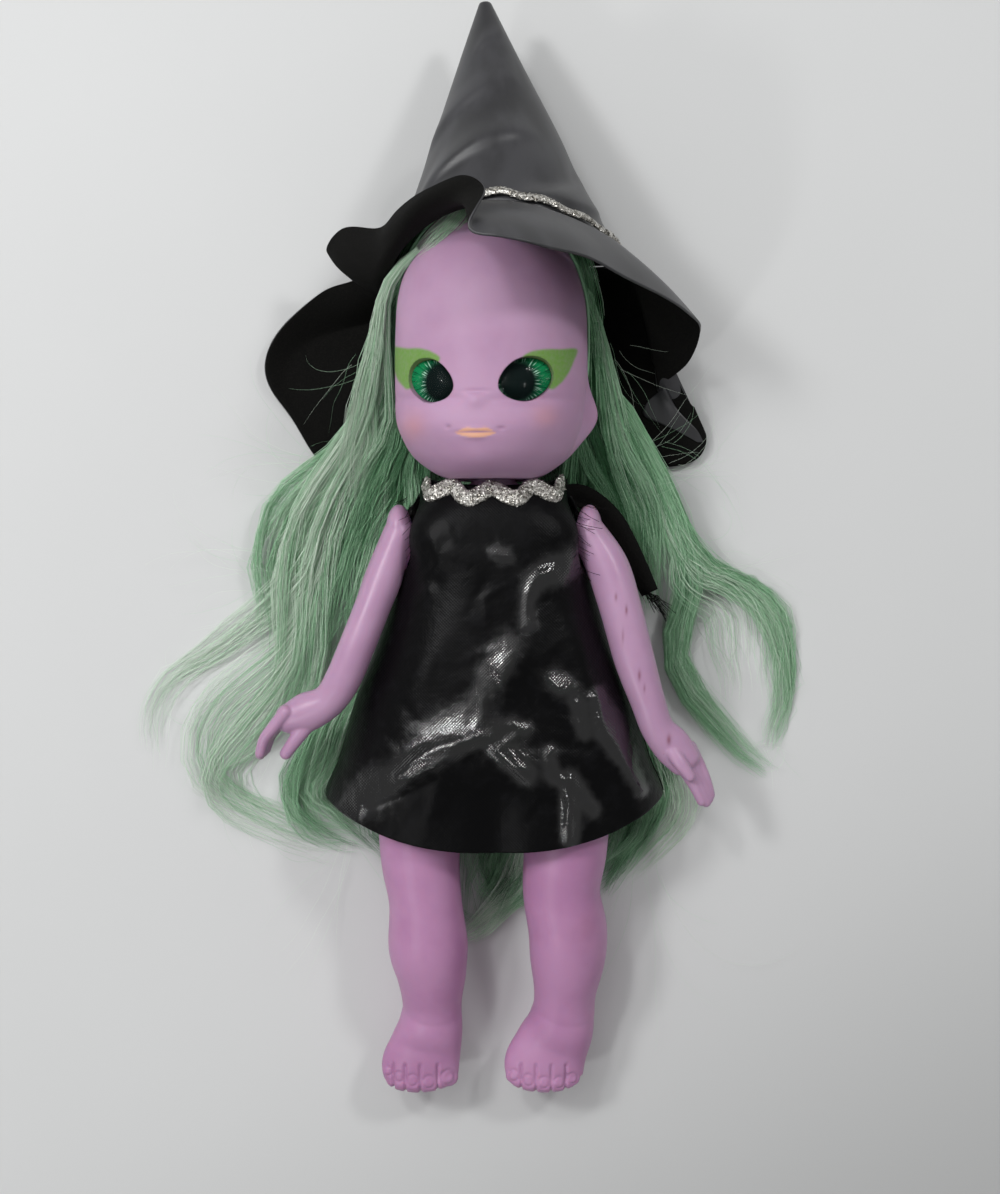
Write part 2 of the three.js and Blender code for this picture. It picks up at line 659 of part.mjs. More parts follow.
function buildDress(group) {
  const armholeY = SHOULDER_Y - ARMHOLE_DROP;
  const armholes = Object.values(SIDES).map((side) =>
    barAlongX(side * 0.6 * CHEST_HALF, side * 2 * CHEST_HALF, ARMHOLE_RADIUS, armholeY, SHOULDER_Z, 20),
  );
  const front = sheet(dressGrid(0, Math.PI, 0, 17, 10), dressGrid(0, Math.PI, CLOTH, 17, 10));
  place(group, 'dress_front', carve([front], armholes), MATERIALS.cloth);
  Object.entries(SIDES).forEach(([name, side]) => {
    const seam = side > 0 ? 0 : -Math.PI;
    const opening = -Math.PI / 2 + (side * 1.5 * FIT) / HEM_HALF;
    const outer = dressGrid(seam, opening, 0, 7, 10);
    const inner = dressGrid(seam, opening, CLOTH, 7, 10);
    const spine = boxBetween(
      new THREE.Vector3(-FIT / 2, 2 * HEM_Y, -10),
      new THREE.Vector3(FIT / 2, 2 * DRESS_TOP_Y, 2 * BODY_Z),
    );
    const panel = carve([sheet(outer, inner)], [...armholes, spine]);
    place(group, `dress_back_${name}`, carve([panel, sleeveFlap(side)]), MATERIALS.cloth);
  });
  const inset = CLOTH + FIT;
  const neck = rowAt(DRESS_ROWS, DRESS_TOP_Y)[4];
  Object.entries(SIDES).forEach(([name, side]) => {
    const x = side * (HOOK_RADIUS + FIT);
    const y = DRESS_TOP_Y - HOOK_RADIUS - FIT;
    const loop = new THREE.Shape();
    loop.absarc(x, y, HOOK_RADIUS, 0, 2 * Math.PI);
    loop.holes.push(new THREE.Path().absarc(x, y, HOOK_RADIUS - HOOK_WIRE, 0, 2 * Math.PI));
    const options = { depth: HOOK_WIRE, bevelEnabled: false, curveSegments: 6 };
    const wire = new THREE.ExtrudeGeometry(loop, options);
    const piece = name === 'left' ? 'neck_hook' : 'neck_eye';
    place(group, piece, wire.translate(0, 0, neck + inset), MATERIALS.steel);
  });
}

/** The zigzag braid along the front neckline, from one shoulder seam to the other. */
function buildNeckTrim(group) {
  const columns = 33;
  const middleY = DRESS_TOP_Y - TRIM_WAVE - TRIM_HALF + 0.6;
  const [start, end] = [0.16 * Math.PI, 0.84 * Math.PI];
  const lengths = [0];
  for (let c = 1; c < columns; c++) {
    const turn = (n) => THREE.MathUtils.lerp(start, end, n / (columns - 1));
    const at = (n) => dressPoint(middleY + neckRise(turn(n)), turn(n), 0);
    lengths.push(lengths[c - 1] + at(c).distanceTo(at(c - 1)));
  }
  const grid = (inset) =>
    [1, 0, -1].map((row) =>
      lengths.map((length, c) => {
        const angle = THREE.MathUtils.lerp(start, end, c / (columns - 1));
        const wave = TRIM_WAVE * Math.cos((2 * Math.PI * length) / TRIM_PITCH);
        return dressPoint(middleY + neckRise(angle) + wave + row * TRIM_HALF, angle, inset);
      }),
    );
  const seat = 2 * FIT;
  const braid = sheet(grid(-seat - TRIM_THICK), grid(-seat));
  place(group, 'neck_trim', braid, MATERIALS.silver);
}

// Head: a hollow vinyl shell with shaped holes for the eyes, turning on the neck knob

// From chin to crown: share of the height, of the half width, of the front and of the back
const HEAD_PROFILE = [
  [0, 0.44, 0.58, 0.46],
  [0.024, 0.6, 0.73, 0.58],
  [0.08, 0.81, 0.88, 0.76],
  [0.155, 0.93, 0.96, 0.86],
  [0.235, 0.985, 0.99, 0.92],
  [0.34, 1, 1, 0.96],
  [0.49, 1, 1, 0.99],
  [0.64, 0.975, 0.97, 1],
  [0.77, 0.87, 0.87, 0.93],
  [0.875, 0.69, 0.7, 0.75],
  [0.95, 0.46, 0.48, 0.5],
  [0.988, 0.22, 0.27, 0.22],
];

/** The head's half width, front and back at a share of its height. */
function headRow(share) {
  const [, width, front, back] = rowAt(HEAD_PROFILE.slice().reverse(), share);
  return { half: width * HEAD_HALF_WIDTH, front: front * HEAD_FRONT, back: back * HEAD_BACK };
}

/** Rings of the head, moved out by an offset, in the head's own frame with the chin at y 0. */
function headRings(offset, count, rows) {
  return smoothRows(HEAD_PROFILE, rows).map(([share, width, front, back]) => {
    const forward = front * HEAD_FRONT;
    const behind = back * HEAD_BACK;
    const y = share * HEAD_HEIGHT + offset * (2 * share - 1);
    const centre = new THREE.Vector3(0, y, (forward - behind) / 2);
    const halfDepth = (forward + behind) / 2;
    return oval(centre, X, Z, width * HEAD_HALF_WIDTH + offset, halfDepth + offset, count);
  });
}

/** The z of the face at a height above the chin and a distance from its middle line. */
function faceZ(x, y) {
  const { half, front, back } = headRow(y / HEAD_HEIGHT);
  return (front - back) / 2 + ((front + back) / 2) * Math.sqrt(1 - (x / half) ** 2);
}

const EYE_POINTS = 16;

/** An eye's almond outline, grown by a margin, with its pointed corner towards the nose. */
function eyeOutline(side, grow) {
  const points = Array.from({ length: EYE_POINTS }, (_, n) => {
    const angle = (n / EYE_POINTS) * 2 * Math.PI;
    const inner = Math.max(0, -Math.cos(angle)) ** 2;
    const x = (EYE_HALF_LONG + grow) * Math.cos(angle);
    const y = (EYE_HALF_TALL + grow) * Math.sin(angle) * (1 - 0.4 * inner);
    return new THREE.Vector2(side * x, y).rotateAround(new THREE.Vector2(), side * EYE_TILT);
  });
  return side > 0 ? points : points.reverse();
}

/** A flat-ended prism of an eye's outline between two depths. */
function eyePrism(side, grow, low, high) {
  const shape = new THREE.Shape(eyeOutline(side, grow));
  const options = { depth: high - low, bevelEnabled: false };
  return new THREE.ExtrudeGeometry(shape, options).translate(0, 0, low);
}

/** The clear dome over an eye. */
function eyeDome(side, low) {
  const outline = eyeOutline(side, 0);
  const ring = (scale, z) => outline.map((p) => new THREE.Vector3(p.x * scale, p.y * scale, z));
  return loft([
    ring(1, low),
    ring(1, 0.2),
    ring(0.9, 0.5 * LENS_BULGE),
    ring(0.68, 0.82 * LENS_BULGE),
    ring(0.35, LENS_BULGE),
  ]);
}

/** The place and turn of an eye in the head. */
function eyeMatrix(side) {
  const turn = new THREE.Quaternion().setFromAxisAngle(Y, side * EYE_YAW);
  const depth = faceZ(EYE_SPREAD, EYE_LEVEL) - EYE_SINK;
  const at = new THREE.Vector3(side * EYE_SPREAD, EYE_LEVEL, depth);
  return new THREE.Matrix4().compose(at, turn, new THREE.Vector3(1, 1, 1));
}

function buildEye(group, name, side) {
  const matrix = eyeMatrix(side);
  const lensBack = -1;
  const irisBack = lensBack - FIT - IRIS_THICK;
  const cupFront = irisBack - FIT;
  const cupBack = cupFront - CUP_DEPTH;
  const cup = carve([
    eyePrism(side, 0, cupBack - 0.5, cupFront),
    eyePrism(side, CUP_FLANGE, cupBack - 1, cupBack),
  ]);
  const pieces = {
    lens: eyeDome(side, lensBack),
    iris: eyePrism(side, 0, irisBack, irisBack + IRIS_THICK),
    cup,
  };
  Object.entries(pieces).forEach(([piece, geometry]) => {
    place(group, `${name}_eye_${piece}`, geometry.applyMatrix4(matrix), MATERIALS[piece]);
  });
}

function buildHead(group) {
  const joined = [loft(headRings(0, 24, 13))];
  const cuts = [loft(headRings(-HEAD_WALL, 14, 9))];
  const opening = NECK_RADIUS + FIT;
  cuts.push(new THREE.CylinderGeometry(opening, opening, 4 * HEAD_WALL, 16));
  Object.values(SIDES).forEach((side) => {
    const ear = new THREE.Vector3(side * (HEAD_HALF_WIDTH - 0.7), EAR_LEVEL, 1.5);
    joined.push(egg(ear, 2.6, EAR_HEIGHT / 2, 3.6, 8, 6));
    cuts.push(eyePrism(side, FIT, -9, 8).applyMatrix4(eyeMatrix(side)));
  });
  const nose = new THREE.Vector3(0, NOSE_LEVEL, faceZ(0, NOSE_LEVEL) - 0.25 * NOSE_RADIUS);
  joined.push(egg(nose, 1.2 * NOSE_RADIUS, NOSE_RADIUS, NOSE_RADIUS, 10, 6));
  [1, -1].forEach((lip) => {
    const at = new THREE.Vector3(0, MOUTH_LEVEL + lip * LIP_HALF, faceZ(0, MOUTH_LEVEL) - 0.2);
    joined.push(egg(at, MOUTH_HALF, LIP_HALF, LIP_HALF, 8, 4));
  });
  place(group, 'head_shell', carve(joined, cuts), MATERIALS.skin);
  Object.entries(SIDES).forEach(([name, side]) => buildEye(group, name, side));
}

// Hair: a rooted cap, a fall on each side of the face, and the length that the doll lies on

function buildHairCap(group) {
  const outer = loft(headRings(FIT + HAIR_THICK, 20, 11));
  const inner = loft(headRings(FIT, 24, 13));
  const far = 3 * HEAD_HEIGHT;
  const corner = new THREE.Vector3(far, far, far);
  const hairline = boxBetween(new THREE.Vector3(-far, -far, 0), corner)
    .rotateX(HAIRLINE_SLOPE)
    .translate(0, 0.3 * HEAD_HEIGHT, -0.25 * HEAD_BACK);
  const napeTop = new THREE.Vector3(far, NAPE_LEVEL, far);
  const nape = boxBetween(new THREE.Vector3(-far, -far, -far), napeTop);
  place(group, 'hair_cap', carve([outer], [inner, hairline, nape]), MATERIALS.hair);
}

const SCALP_HALF = HEAD_HALF_WIDTH + FIT + HAIR_THICK;
// Locks beside the face: out from the scalp, up from the chin, z, half width, half thickness
const FRONT_LOCKS = {
  right: [
    [1.5, 39.5, 20.5, 2, 7],
    [3.4, 31, 17, 3.2, 8],
    [5.6, 18, 12.5, 6, 7],
    [9.4, 4.9, 8.4, 9.4, 5],
  ],
  left: [
    [1, 43, 23, 2, 6.4],
    [2.7, 29, 18, 3, 7.4],
    [6, 16, 12.5, 5.4, 7],
    [10.4, 4.2, 8.4, 8.4, 5],
  ],
};
// Hair on the table: out from the bodice, up from the neck, z, half width, half thickness
const FALLS = {
  right: [
    [18.5, -1, 6.4, 11, 4.6],
    [24.5, -20, 5, 17, 4.6],
    [28.5, -40, 4.6, 18, 4.4],
    [32.5, -60, 4.2, 14, 4],
    [34.5, -76, 3.6, 11, 3.4],
    [29.5, -88, 3, 6, 2.6],
  ],
  left: [
    [18.5, -2, 6.4, 9, 4.6],
    [23.5, -20, 5, 11, 4.6],
    [24.5, -32, 4.6, 9.6, 4.2],
    [23.5, -42, 4.4, 7.6, 4],
    [29.5, -56, 4, 8, 3.6],
    [43.5, -68, 3.2, 6, 2.8],
  ],
};
const LOOPS = {
  right: [
    [39.5, -34, 2.4, 4, 1.6],
    [54.5, -46, 1.8, 2.4, 1.2],
    [61.5, -64, 1.5, 2, 1],
    [54.5, -78, 1.5, 2, 1],
    [37.5, -81, 2.4, 3, 1.4],
  ],
  left: [
    [31.5, -26, 2.6, 3.6, 1.6],
    [44.5, -30, 1.8, 2.4, 1.2],
    [53.5, -46, 1.5, 2, 1],
    [52.5, -61, 1.5, 2, 1],
    [43.5, -69, 2.4, 2.6, 1.4],
  ],
};

/** A lock of hair on one side of the doll, from rows that start at a place out and up. */
function lock(side, rows, fromX, fromY, steps, count) {
  const placed = rows.map(([out, up, ...rest]) => [side * (fromX + out), fromY + up, ...rest]);
  return limb(smoothRows(placed, steps), count);
}

function buildHairLengths(group) {
  Object.entries(SIDES).forEach(([name, side]) => {
    const front = lock(side, FRONT_LOCKS[name], SCALP_HALF, CHIN_Y, 8, 10);
    place(group, `front_lock_${name}`, front, MATERIALS.hair);
    const fall = lock(side, FALLS[name], BODICE_HALF, NECK_Y, 12, 10);
    const loop = lock(side, LOOPS[name], BODICE_HALF, NECK_Y, 11, 6);
    place(group, `hair_fall_${name}`, carve([fall, loop]), MATERIALS.hair);
  });
}

// The outline of the hair under the doll, up from the neck, from the nape round its left side
const PAD_OUTLINE = [
  [0, 4],
  [22, 2],
  [25, -22],
  [32, -44],
  [40, -64],
  [45, -82],
  [32, -96],
  [8, -107],
  [-8, -106],
  [-32, -94],
  [-40, -80],
  [-36, -62],
  [-28, -40],
  [-24, -20],
  [-22, 2],
];

function buildHairPad(group) {
  const points = PAD_OUTLINE.map(([x, up]) => new THREE.Vector3(x, NECK_Y + up, 0));
  const outline = new THREE.CatmullRomCurve3(points, true).getPoints(36).slice(0, -1);
  const ring = (scale, z) => outline.map((p) => new THREE.Vector3(p.x * scale, p.y * scale, z));
  const pad = loft([
    ring(PAD_TAPER, PAD_BOTTOM),
    ring(1, PAD_BOTTOM + 1),
    ring(1, PAD_TOP - 1),
    ring(PAD_TAPER, PAD_TOP),
  ]);
  place(group, 'hair_back', pad, MATERIALS.hair);
}

// Hat: a cone with a braid round its foot, and a soft brim that ruffles and lies on the table

const HAT_BASE_SHARE = 1 - HAT_SINK / HEAD_HEIGHT;
const HAT_FOOT_Y = CHIN_Y + HEAD_HEIGHT - HAT_SINK;
const HAT_RADIUS = headRow(HAT_BASE_SHARE).half + FIT + HAIR_THICK + HAT_EASE + CONE_WALL;

/** The hat's frame: at the middle of the cone's foot, with y along the cone. */
function hatMatrix() {
  const foot = new THREE.Vector3(HAT_SHIFT, HAT_FOOT_Y, NECK_Z + HAT_RAISE);
  const turn = new THREE.Quaternion().setFromEuler(new THREE.Euler(HAT_PITCH, 0, HAT_LEAN));
  return new THREE.Matrix4().compose(foot, turn, new THREE.Vector3(1, 1, 1));
}

/** The height of the cone's foot at an angle round from the front. */
function coneFoot(angle) {
  return -FOOT_DIP * Math.sin(angle - FOOT_PEAK) ** 2;
}

/** A point round the cone at a height above the middle of its foot, moved out from its surface. */
function conePoint(angle, y, out) {
  const radius = HAT_RADIUS * (1 - y / HAT_HEIGHT) + out;
  return new THREE.Vector3(radius * Math.sin(angle), y, radius * Math.cos(angle));
}

// The brim's free edge: across and up from the cone's foot, and above the table,
// from the middle of the front round the doll's left
const BRIM_EDGE = [
  [-0.4, -9.4, 73],
  [7.8, -9.7, 71],
  [16.3, -11.6, 65],
  [25.3, -14, 56],
  [34.8, -16.5, 45],
  [42.7, -18, 33],
  [46.6, -20.9, 22],
  [44.7, -27.2, 12],
  [37.7, -33, 4],
  [41.4, -38, 2.2],
  [48.2, -42.9, 2.2],
  [49.6, -47.3, 2],
  [44.2, -51.4, 1.6],
  [28.2, -52, 0.9],
  [8.2, -51, 0.9],
  [-11.8, -51, 0.9],
  [-29.8, -51.6, 0.9],
  [-43.1, -51.8, 1.2],
  [-51.5, -41.2, 1.8],
  [-56.6, -32.8, 2.6],
  [-58, -25.7, 3.4],
  [-53.5, -17.4, 5],
  [-43.6, -10.5, 8],
  [-35.1, -6.7, 11],
  [-38.3, -3.6, 14],
  [-40.8, -1.1, 18],
  [-36.5, 1.9, 23],
  [-27.8, 1.4, 31],
  [-22.6, 2.8, 42],
  [-15.5, 4.6, 54],
  [-7.8, 5.4, 62],
  [-3.3, 3.2, 66],
  [-4.9, -2.7, 70],
  [-6.4, -7.6, 71.5],
];
const BRIM_COLUMNS = 47;

/** The brim's edge, resampled to one point for each column. */
function brimEdge() {
  const points = BRIM_EDGE.map(([x, up, z]) => new THREE.Vector3(HAT_SHIFT + x, HAT_FOOT_Y + up, z));
  const curve = new THREE.CatmullRomCurve3(points, true);
  return Array.from({ length: BRIM_COLUMNS }, (_, n) => curve.getPoint(n / BRIM_COLUMNS));
}

function buildBrim(group) {
  const matrix = hatMatrix();
  const edge = brimEdge();
  const along = new THREE.Vector3(0, 1, 0).transformDirection(matrix);
  const foot = new THREE.Vector3().setFromMatrixPosition(matrix);
  const root = edge.map((_, n) => {
    const angle = (n / BRIM_COLUMNS) * 2 * Math.PI;
    return conePoint(angle, coneFoot(angle) - FIT, -CONE_WALL).applyMatrix4(matrix);
  });
  const leave = edge.map((_, n) => {
    const angle = (n / BRIM_COLUMNS) * 2 * Math.PI;
    const y = coneFoot(angle) - 2 * FIT;
    return conePoint(angle, y, 2 * TRIM_THICK + FIT).applyMatrix4(matrix);
  });
  const flare = [0, 0.3, 0.65, 1].map((share) =>
    edge.map((tip, n) => {
      const point = leave[n].clone().lerp(tip, share);
      const leftwards = Math.max(0, Math.sin((n / BRIM_COLUMNS) * 2 * Math.PI));
      const swell = 0.12 - 0.09 * leftwards; // the brim is flatter at the doll's left
      const spread = Math.sin(Math.PI * share) * swell * leave[n].distanceTo(tip);
      const outward = leave[n].clone().sub(foot).normalize();
      point.addScaledVector(outward, spread);
      point.z = Math.max(point.z, 0);
      return point;
    }),
  );
  const over = [root, ...flare];
  const under = over.map((row, r) =>
    row.map((p, n) => {
      const before = row[(n + BRIM_COLUMNS - 1) % BRIM_COLUMNS];
      const after = row[(n + 1) % BRIM_COLUMNS];
      const inner = over[Math.min(r, over.length - 2)][n];
      const outer = over[Math.min(r + 1, over.length - 1)][n];
      const out = outer.clone().sub(inner);
      const normal = new THREE.Vector3().crossVectors(after.clone().sub(before), out).normalize();
      return p.clone().addScaledVector(normal, BRIM_CLOTH);
    }),
  );
  under[0] = root.map((p) => p.clone().addScaledVector(along, -BRIM_CLOTH));
  place(group, 'hat_brim', sheet(over, under, true), MATERIALS.felt);
}

function buildHat(group) {
  const matrix = hatMatrix();
  const slope = HAT_HEIGHT / HAT_RADIUS;
  const tipY = HAT_HEIGHT - HAT_TIP * slope;
  const sides = 28;
  // A ring round the cone at a share of the way from its foot to a height
  const ring = (share, top, out) =>
    Array.from({ length: sides }, (_, n) => {
      const angle = (n / sides) * 2 * Math.PI;
      return conePoint(angle, THREE.MathUtils.lerp(coneFoot(angle), top, share), out);
    });
  const cone = loft([
    ring(1, HAT_HEIGHT - (CONE_WALL + 0.5) * slope, -CONE_WALL),
    ring(0, tipY, -CONE_WALL),
    ring(0, tipY, 0),
    ring(0.5, tipY, 0),
    ring(1, tipY, 0),
  ]);
  place(group, 'hat_cone', cone.applyMatrix4(matrix), MATERIALS.felt);
  const columns = 4 * HAT_TRIM_WAVES;
  const lean = Math.hypot(1, HAT_RADIUS / HAT_HEIGHT);
  const grid = (out) =>
    [1, -1].map((row) =>
      Array.from({ length: columns }, (_, n) => {
        const wave = HAT_TRIM_WAVE * Math.cos((2 * Math.PI * n) / 4);
        const angle = (n / columns) * 2 * Math.PI;
        const y = coneFoot(angle) + HAT_TRIM_HALF + 2 * HAT_TRIM_WAVE + wave + row * HAT_TRIM_HALF;
        return conePoint(angle, y, out * lean).applyMatrix4(matrix);
      }),
    );
  const seat = FIT + 0.2;
  place(group, 'hat_trim', sheet(grid(seat + TRIM_THICK), grid(seat), true), MATERIALS.silver);
  buildBrim(group);
}

const doll = new THREE.Group();
doll.name = 'witch_doll';
buildTorso(doll);
Object.keys(SIDES).forEach((side) => {
  buildArm(doll, side);
  buildLeg(doll, side);
});
buildDress(doll);
buildNeckTrim(doll);
const head = groupAt(doll, 0, CHIN_Y, NECK_Z);
head.rotation.y = HEAD_TURN;
buildHead(head);
buildHairCap(head);
buildHairLengths(doll);
buildHairPad(doll);
buildHat(doll);

// The origin is on the table, under the middle of the doll's box
const extent = new THREE.Box3().setFromObject(doll);
const centre = extent.getCenter(new THREE.Vector3());
doll.position.set(-centre.x, -centre.y, -extent.min.z);

export default doll;
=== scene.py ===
"""Witch doll lying on a table: its shapes and finishes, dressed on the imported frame.

Lengths are millimetres in the doll's own frame: +Z up from the table, +Y towards the hat's tip,
+X to the doll's left side, with Y zero at the middle of the doll. Meshes are written in metres.
"""

import json
import logging
import math
from dataclasses import dataclass, field, replace
from enum import Enum
from typing import Any, Iterable, Sequence

import bmesh
import bpy
import numpy as np
from mathutils import Matrix, Vector
from mathutils.bvhtree import BVHTree


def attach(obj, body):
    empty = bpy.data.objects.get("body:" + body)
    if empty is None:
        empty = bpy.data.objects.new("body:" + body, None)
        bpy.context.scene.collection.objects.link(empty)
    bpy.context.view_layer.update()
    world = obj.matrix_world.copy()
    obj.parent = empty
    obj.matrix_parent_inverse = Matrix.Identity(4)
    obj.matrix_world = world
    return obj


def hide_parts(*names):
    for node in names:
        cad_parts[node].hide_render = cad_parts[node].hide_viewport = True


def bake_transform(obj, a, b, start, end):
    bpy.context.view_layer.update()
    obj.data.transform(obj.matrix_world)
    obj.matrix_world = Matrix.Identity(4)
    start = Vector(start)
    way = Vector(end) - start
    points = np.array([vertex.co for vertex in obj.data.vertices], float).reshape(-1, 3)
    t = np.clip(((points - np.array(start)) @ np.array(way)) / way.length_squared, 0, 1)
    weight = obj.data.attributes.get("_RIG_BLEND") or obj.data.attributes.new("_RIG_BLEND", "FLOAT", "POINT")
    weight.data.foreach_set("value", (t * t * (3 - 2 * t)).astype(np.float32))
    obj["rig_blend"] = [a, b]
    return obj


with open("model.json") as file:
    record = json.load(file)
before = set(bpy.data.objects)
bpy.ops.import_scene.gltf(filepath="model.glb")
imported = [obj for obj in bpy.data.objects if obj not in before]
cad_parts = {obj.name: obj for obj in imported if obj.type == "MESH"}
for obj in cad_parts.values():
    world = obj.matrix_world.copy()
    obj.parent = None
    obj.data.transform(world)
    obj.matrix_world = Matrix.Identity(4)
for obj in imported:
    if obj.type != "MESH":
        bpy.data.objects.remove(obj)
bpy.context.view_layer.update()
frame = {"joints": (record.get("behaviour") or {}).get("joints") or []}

LOG = logging.getLogger("witch_doll")
MM = 0.001
SEED = 7
NECK = np.array([0.0, 27.0, 24.0])  # where the head's turning axis leaves the shoulders
CAMERA_X = 1.4
CAMERA_HEIGHT = 450.0
HEAD_TURN = math.radians(-9)
FACE_LEVEL = 46.0  # height of the face's print above the table
FACE_MIDDLE = -4.1  # the face's middle line, as seen from the camera
CHIN_SEEN = 26.1  # the chin's place along Y, as seen from the camera

Array = np.ndarray
Color = tuple[float, float, float]
Spot = tuple[float, float, float]
Pair = tuple[float, float]
Rows = Sequence[Sequence[float]]
Guides = tuple[list[Array], list[Array], list[Array]]  # points, widths and tones
Material = bpy.types.Material
Object = bpy.types.Object
Node = bpy.types.Node
Socket = bpy.types.NodeSocket
Tree = bpy.types.NodeTree


class Side(Enum):
    """A side of the doll, with its direction along X."""

    LEFT = 1
    RIGHT = -1

    @property
    def label(self) -> str:
        """The side's name in lower case."""
        return self.name.lower()


def neck_shift() -> Array:
    """The step from the doll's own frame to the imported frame, in metres."""
    joint = next(j for j in frame["joints"] if j["name"] == "head_turn")
    return np.array(joint["pos_m"], float) - NECK * MM


SHIFT = neck_shift()


def srgb(red: int, green: int, blue: int) -> Color:
    """A linear colour from 8-bit display values."""

    def linear(value: int) -> float:
        share = value / 255
        return share / 12.92 if share <= 0.04045 else ((share + 0.055) / 1.055) ** 2.4

    return linear(red), linear(green), linear(blue)


def smoothstep(low: float, high: float, value: Array) -> Array:
    """A smooth rise from 0 at low to 1 at high."""
    t = np.clip((value - low) / (high - low), 0, 1)
    return t * t * (3 - 2 * t)


def smooth_rows(rows: Rows, count: int, closed: bool = False) -> Array:
    """Rows of numbers resampled to a smooth run that passes through them.

    Args:
        rows: the rows to pass through.
        count: how many rows to return.
        closed: whether the run joins its last row to its first.

    Returns:
        An array of count rows.
    """
    data = np.asarray(rows, float)
    size = len(data)
    at = np.linspace(0, size if closed else size - 1, count, endpoint=not closed)
    index = np.minimum(at.astype(int), size - 1 if closed else size - 2)
    t = (at - index)[:, None]
    if closed:
        a, b, c, d = (data[(index + k) % size] for k in (-1, 0, 1, 2))
    else:
        a, b, c, d = (data[np.clip(index + k, 0, size - 1)] for k in (-1, 0, 1, 2))
    return b + 0.5 * t * (c - a + t * (2 * a - 5 * b + 4 * c - d + t * (3 * (b - c) + d - a)))


def bell(*away: Array) -> Array:
    """A soft hill of height one over distances from its middle, in half widths."""
    return np.exp(-sum(a**2 for a in away))


def circle(count: int) -> Array:
    """Even angles round a circle."""
    return np.linspace(0, math.tau, count, endpoint=False)


def unit(vectors: Array) -> Array:
    """Vectors scaled to a length of one."""
    return vectors / np.linalg.norm(vectors, axis=1)[:, None]


def sideways(path: Array) -> Array:
    """Level directions across a path, one at each of its points."""
    along = unit(np.gradient(path[:, :2], axis=0))
    return np.column_stack([-along[:, 1], along[:, 0], np.zeros(len(along))])


@dataclass
class Shell:
    """Points in millimetres and the faces between them."""

    points: Array
    faces: list[tuple[int, ...]]

    @staticmethod
    def joined(shells: Iterable["Shell"]) -> "Shell":
        """One shell from several, without merging them."""
        points, faces, start = [], [], 0
        for shell in shells:
            points.append(shell.points)
            faces += [tuple(start + i for i in face) for face in shell.faces]
            start += len(shell.points)
        return Shell(np.vstack(points), faces)

    @staticmethod
    def grid(points: Array, closed: bool = False) -> "Shell":
        """A sheet through rows of points, closed round its columns or open."""
        rows, columns = points.shape[:2]
        spans = columns if closed else columns - 1
        faces = []
        for r in range(rows - 1):
            for c in range(spans):
                a, b = r * columns + c, r * columns + (c + 1) % columns
                faces.append((a, b, b + columns, a + columns))
        return Shell(points.reshape(-1, 3), faces)

    @staticmethod
    def loft(rings: Array) -> "Shell":
        """A closed skin through rings of points, with a fan over each end."""
        skin = Shell.grid(rings, closed=True)
        rows, columns = rings.shape[:2]
        points, faces = [skin.points], skin.faces
        for row, flip in ((0, True), (rows - 1, False)):
            hub = rows * columns + len(points) - 1
            points.append(rings[row].mean(0)[None])
            for c in range(columns):
                a, b = row * columns + c, row * columns + (c + 1) % columns
                faces.append((b, a, hub) if flip else (a, b, hub))
        return Shell(np.vstack(points), faces)

    @staticmethod
    def egg(centre: Sequence[float], half: Sequence[float], count: int = 24) -> "Shell":
        """An egg-shaped solid about a centre."""
        around = circle(count)
        along = np.linspace(0.04, math.pi - 0.04, count // 2)
        ball = [
            [(math.sin(a) * math.cos(b), math.cos(a),
              -math.sin(a) * math.sin(b)) for b in around] for a in along
        ]
        return Shell.loft(np.array(ball) * half + centre)


DOME = np.linspace(0.12, 1, 6) * math.pi / 2


def tube(rows: Rows, count: int, steps: int, up: Sequence[float] = (0, 0, 1), dome: float = 0.9) -> Shell:
    """A round-ended solid along rows of x, y, z, half width and half thickness.

    Args:
        rows: the places along the solid.
        count: points round it.
        steps: rings along it.
        up: the direction of its thickness.
        dome: length of its round ends, as a share of its half thickness.

    Returns:
        The closed shell.
    """
    data = smooth_rows(rows, steps)
    along = unit(np.gradient(data[:, :3], axis=0))
    across = unit(np.cross(along, np.asarray(up, float)))
    out = np.cross(across, along)
    angle = circle(count)

    def ring(i: int, shift: float, scale: float) -> Array:
        centre = data[i, :3] + along[i] * shift
        wide = across[i] * data[i, 3] * scale
        thick = out[i] * data[i, 4] * scale
        return centre + np.cos(angle)[:, None] * wide + np.sin(angle)[:, None] * thick

    first = dome * min(data[0, 3:5])
    last = dome * min(data[-1, 3:5])
    rings = [ring(0, -first * math.cos(a), math.sin(a)) for a in DOME[:-1]]
    rings += [ring(i, 0, 1) for i in range(steps)]
    rings += [ring(steps - 1, last * math.cos(a), math.sin(a)) for a in DOME[-2::-1]]
    return Shell.loft(np.array(rings))


def to_metres(points: Array) -> Array:
    """Points of the doll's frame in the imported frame."""
    return points * MM + SHIFT


def link_object(name: str, data: bpy.types.ID) -> Object:
    """A new object of the scene."""
    obj = bpy.data.objects.new(name, data)
    bpy.context.scene.collection.objects.link(obj)
    return obj


def make_object(name: str, shell: Shell, *materials: Material) -> Object:
    """A smooth-shaded object from a shell, at the origin with its place in its mesh.

    Args:
        name: the object's name.
        shell: its points and faces.
        materials: its finishes, the first of them on every face.

    Returns:
        The object.
    """
    mesh = bpy.data.meshes.new(name)
    mesh.from_pydata(to_metres(shell.points).tolist(), [], shell.faces)
    mesh.validate()
    for material in materials:
        mesh.materials.append(material)
    mesh.shade_smooth()
    return link_object(name, mesh)


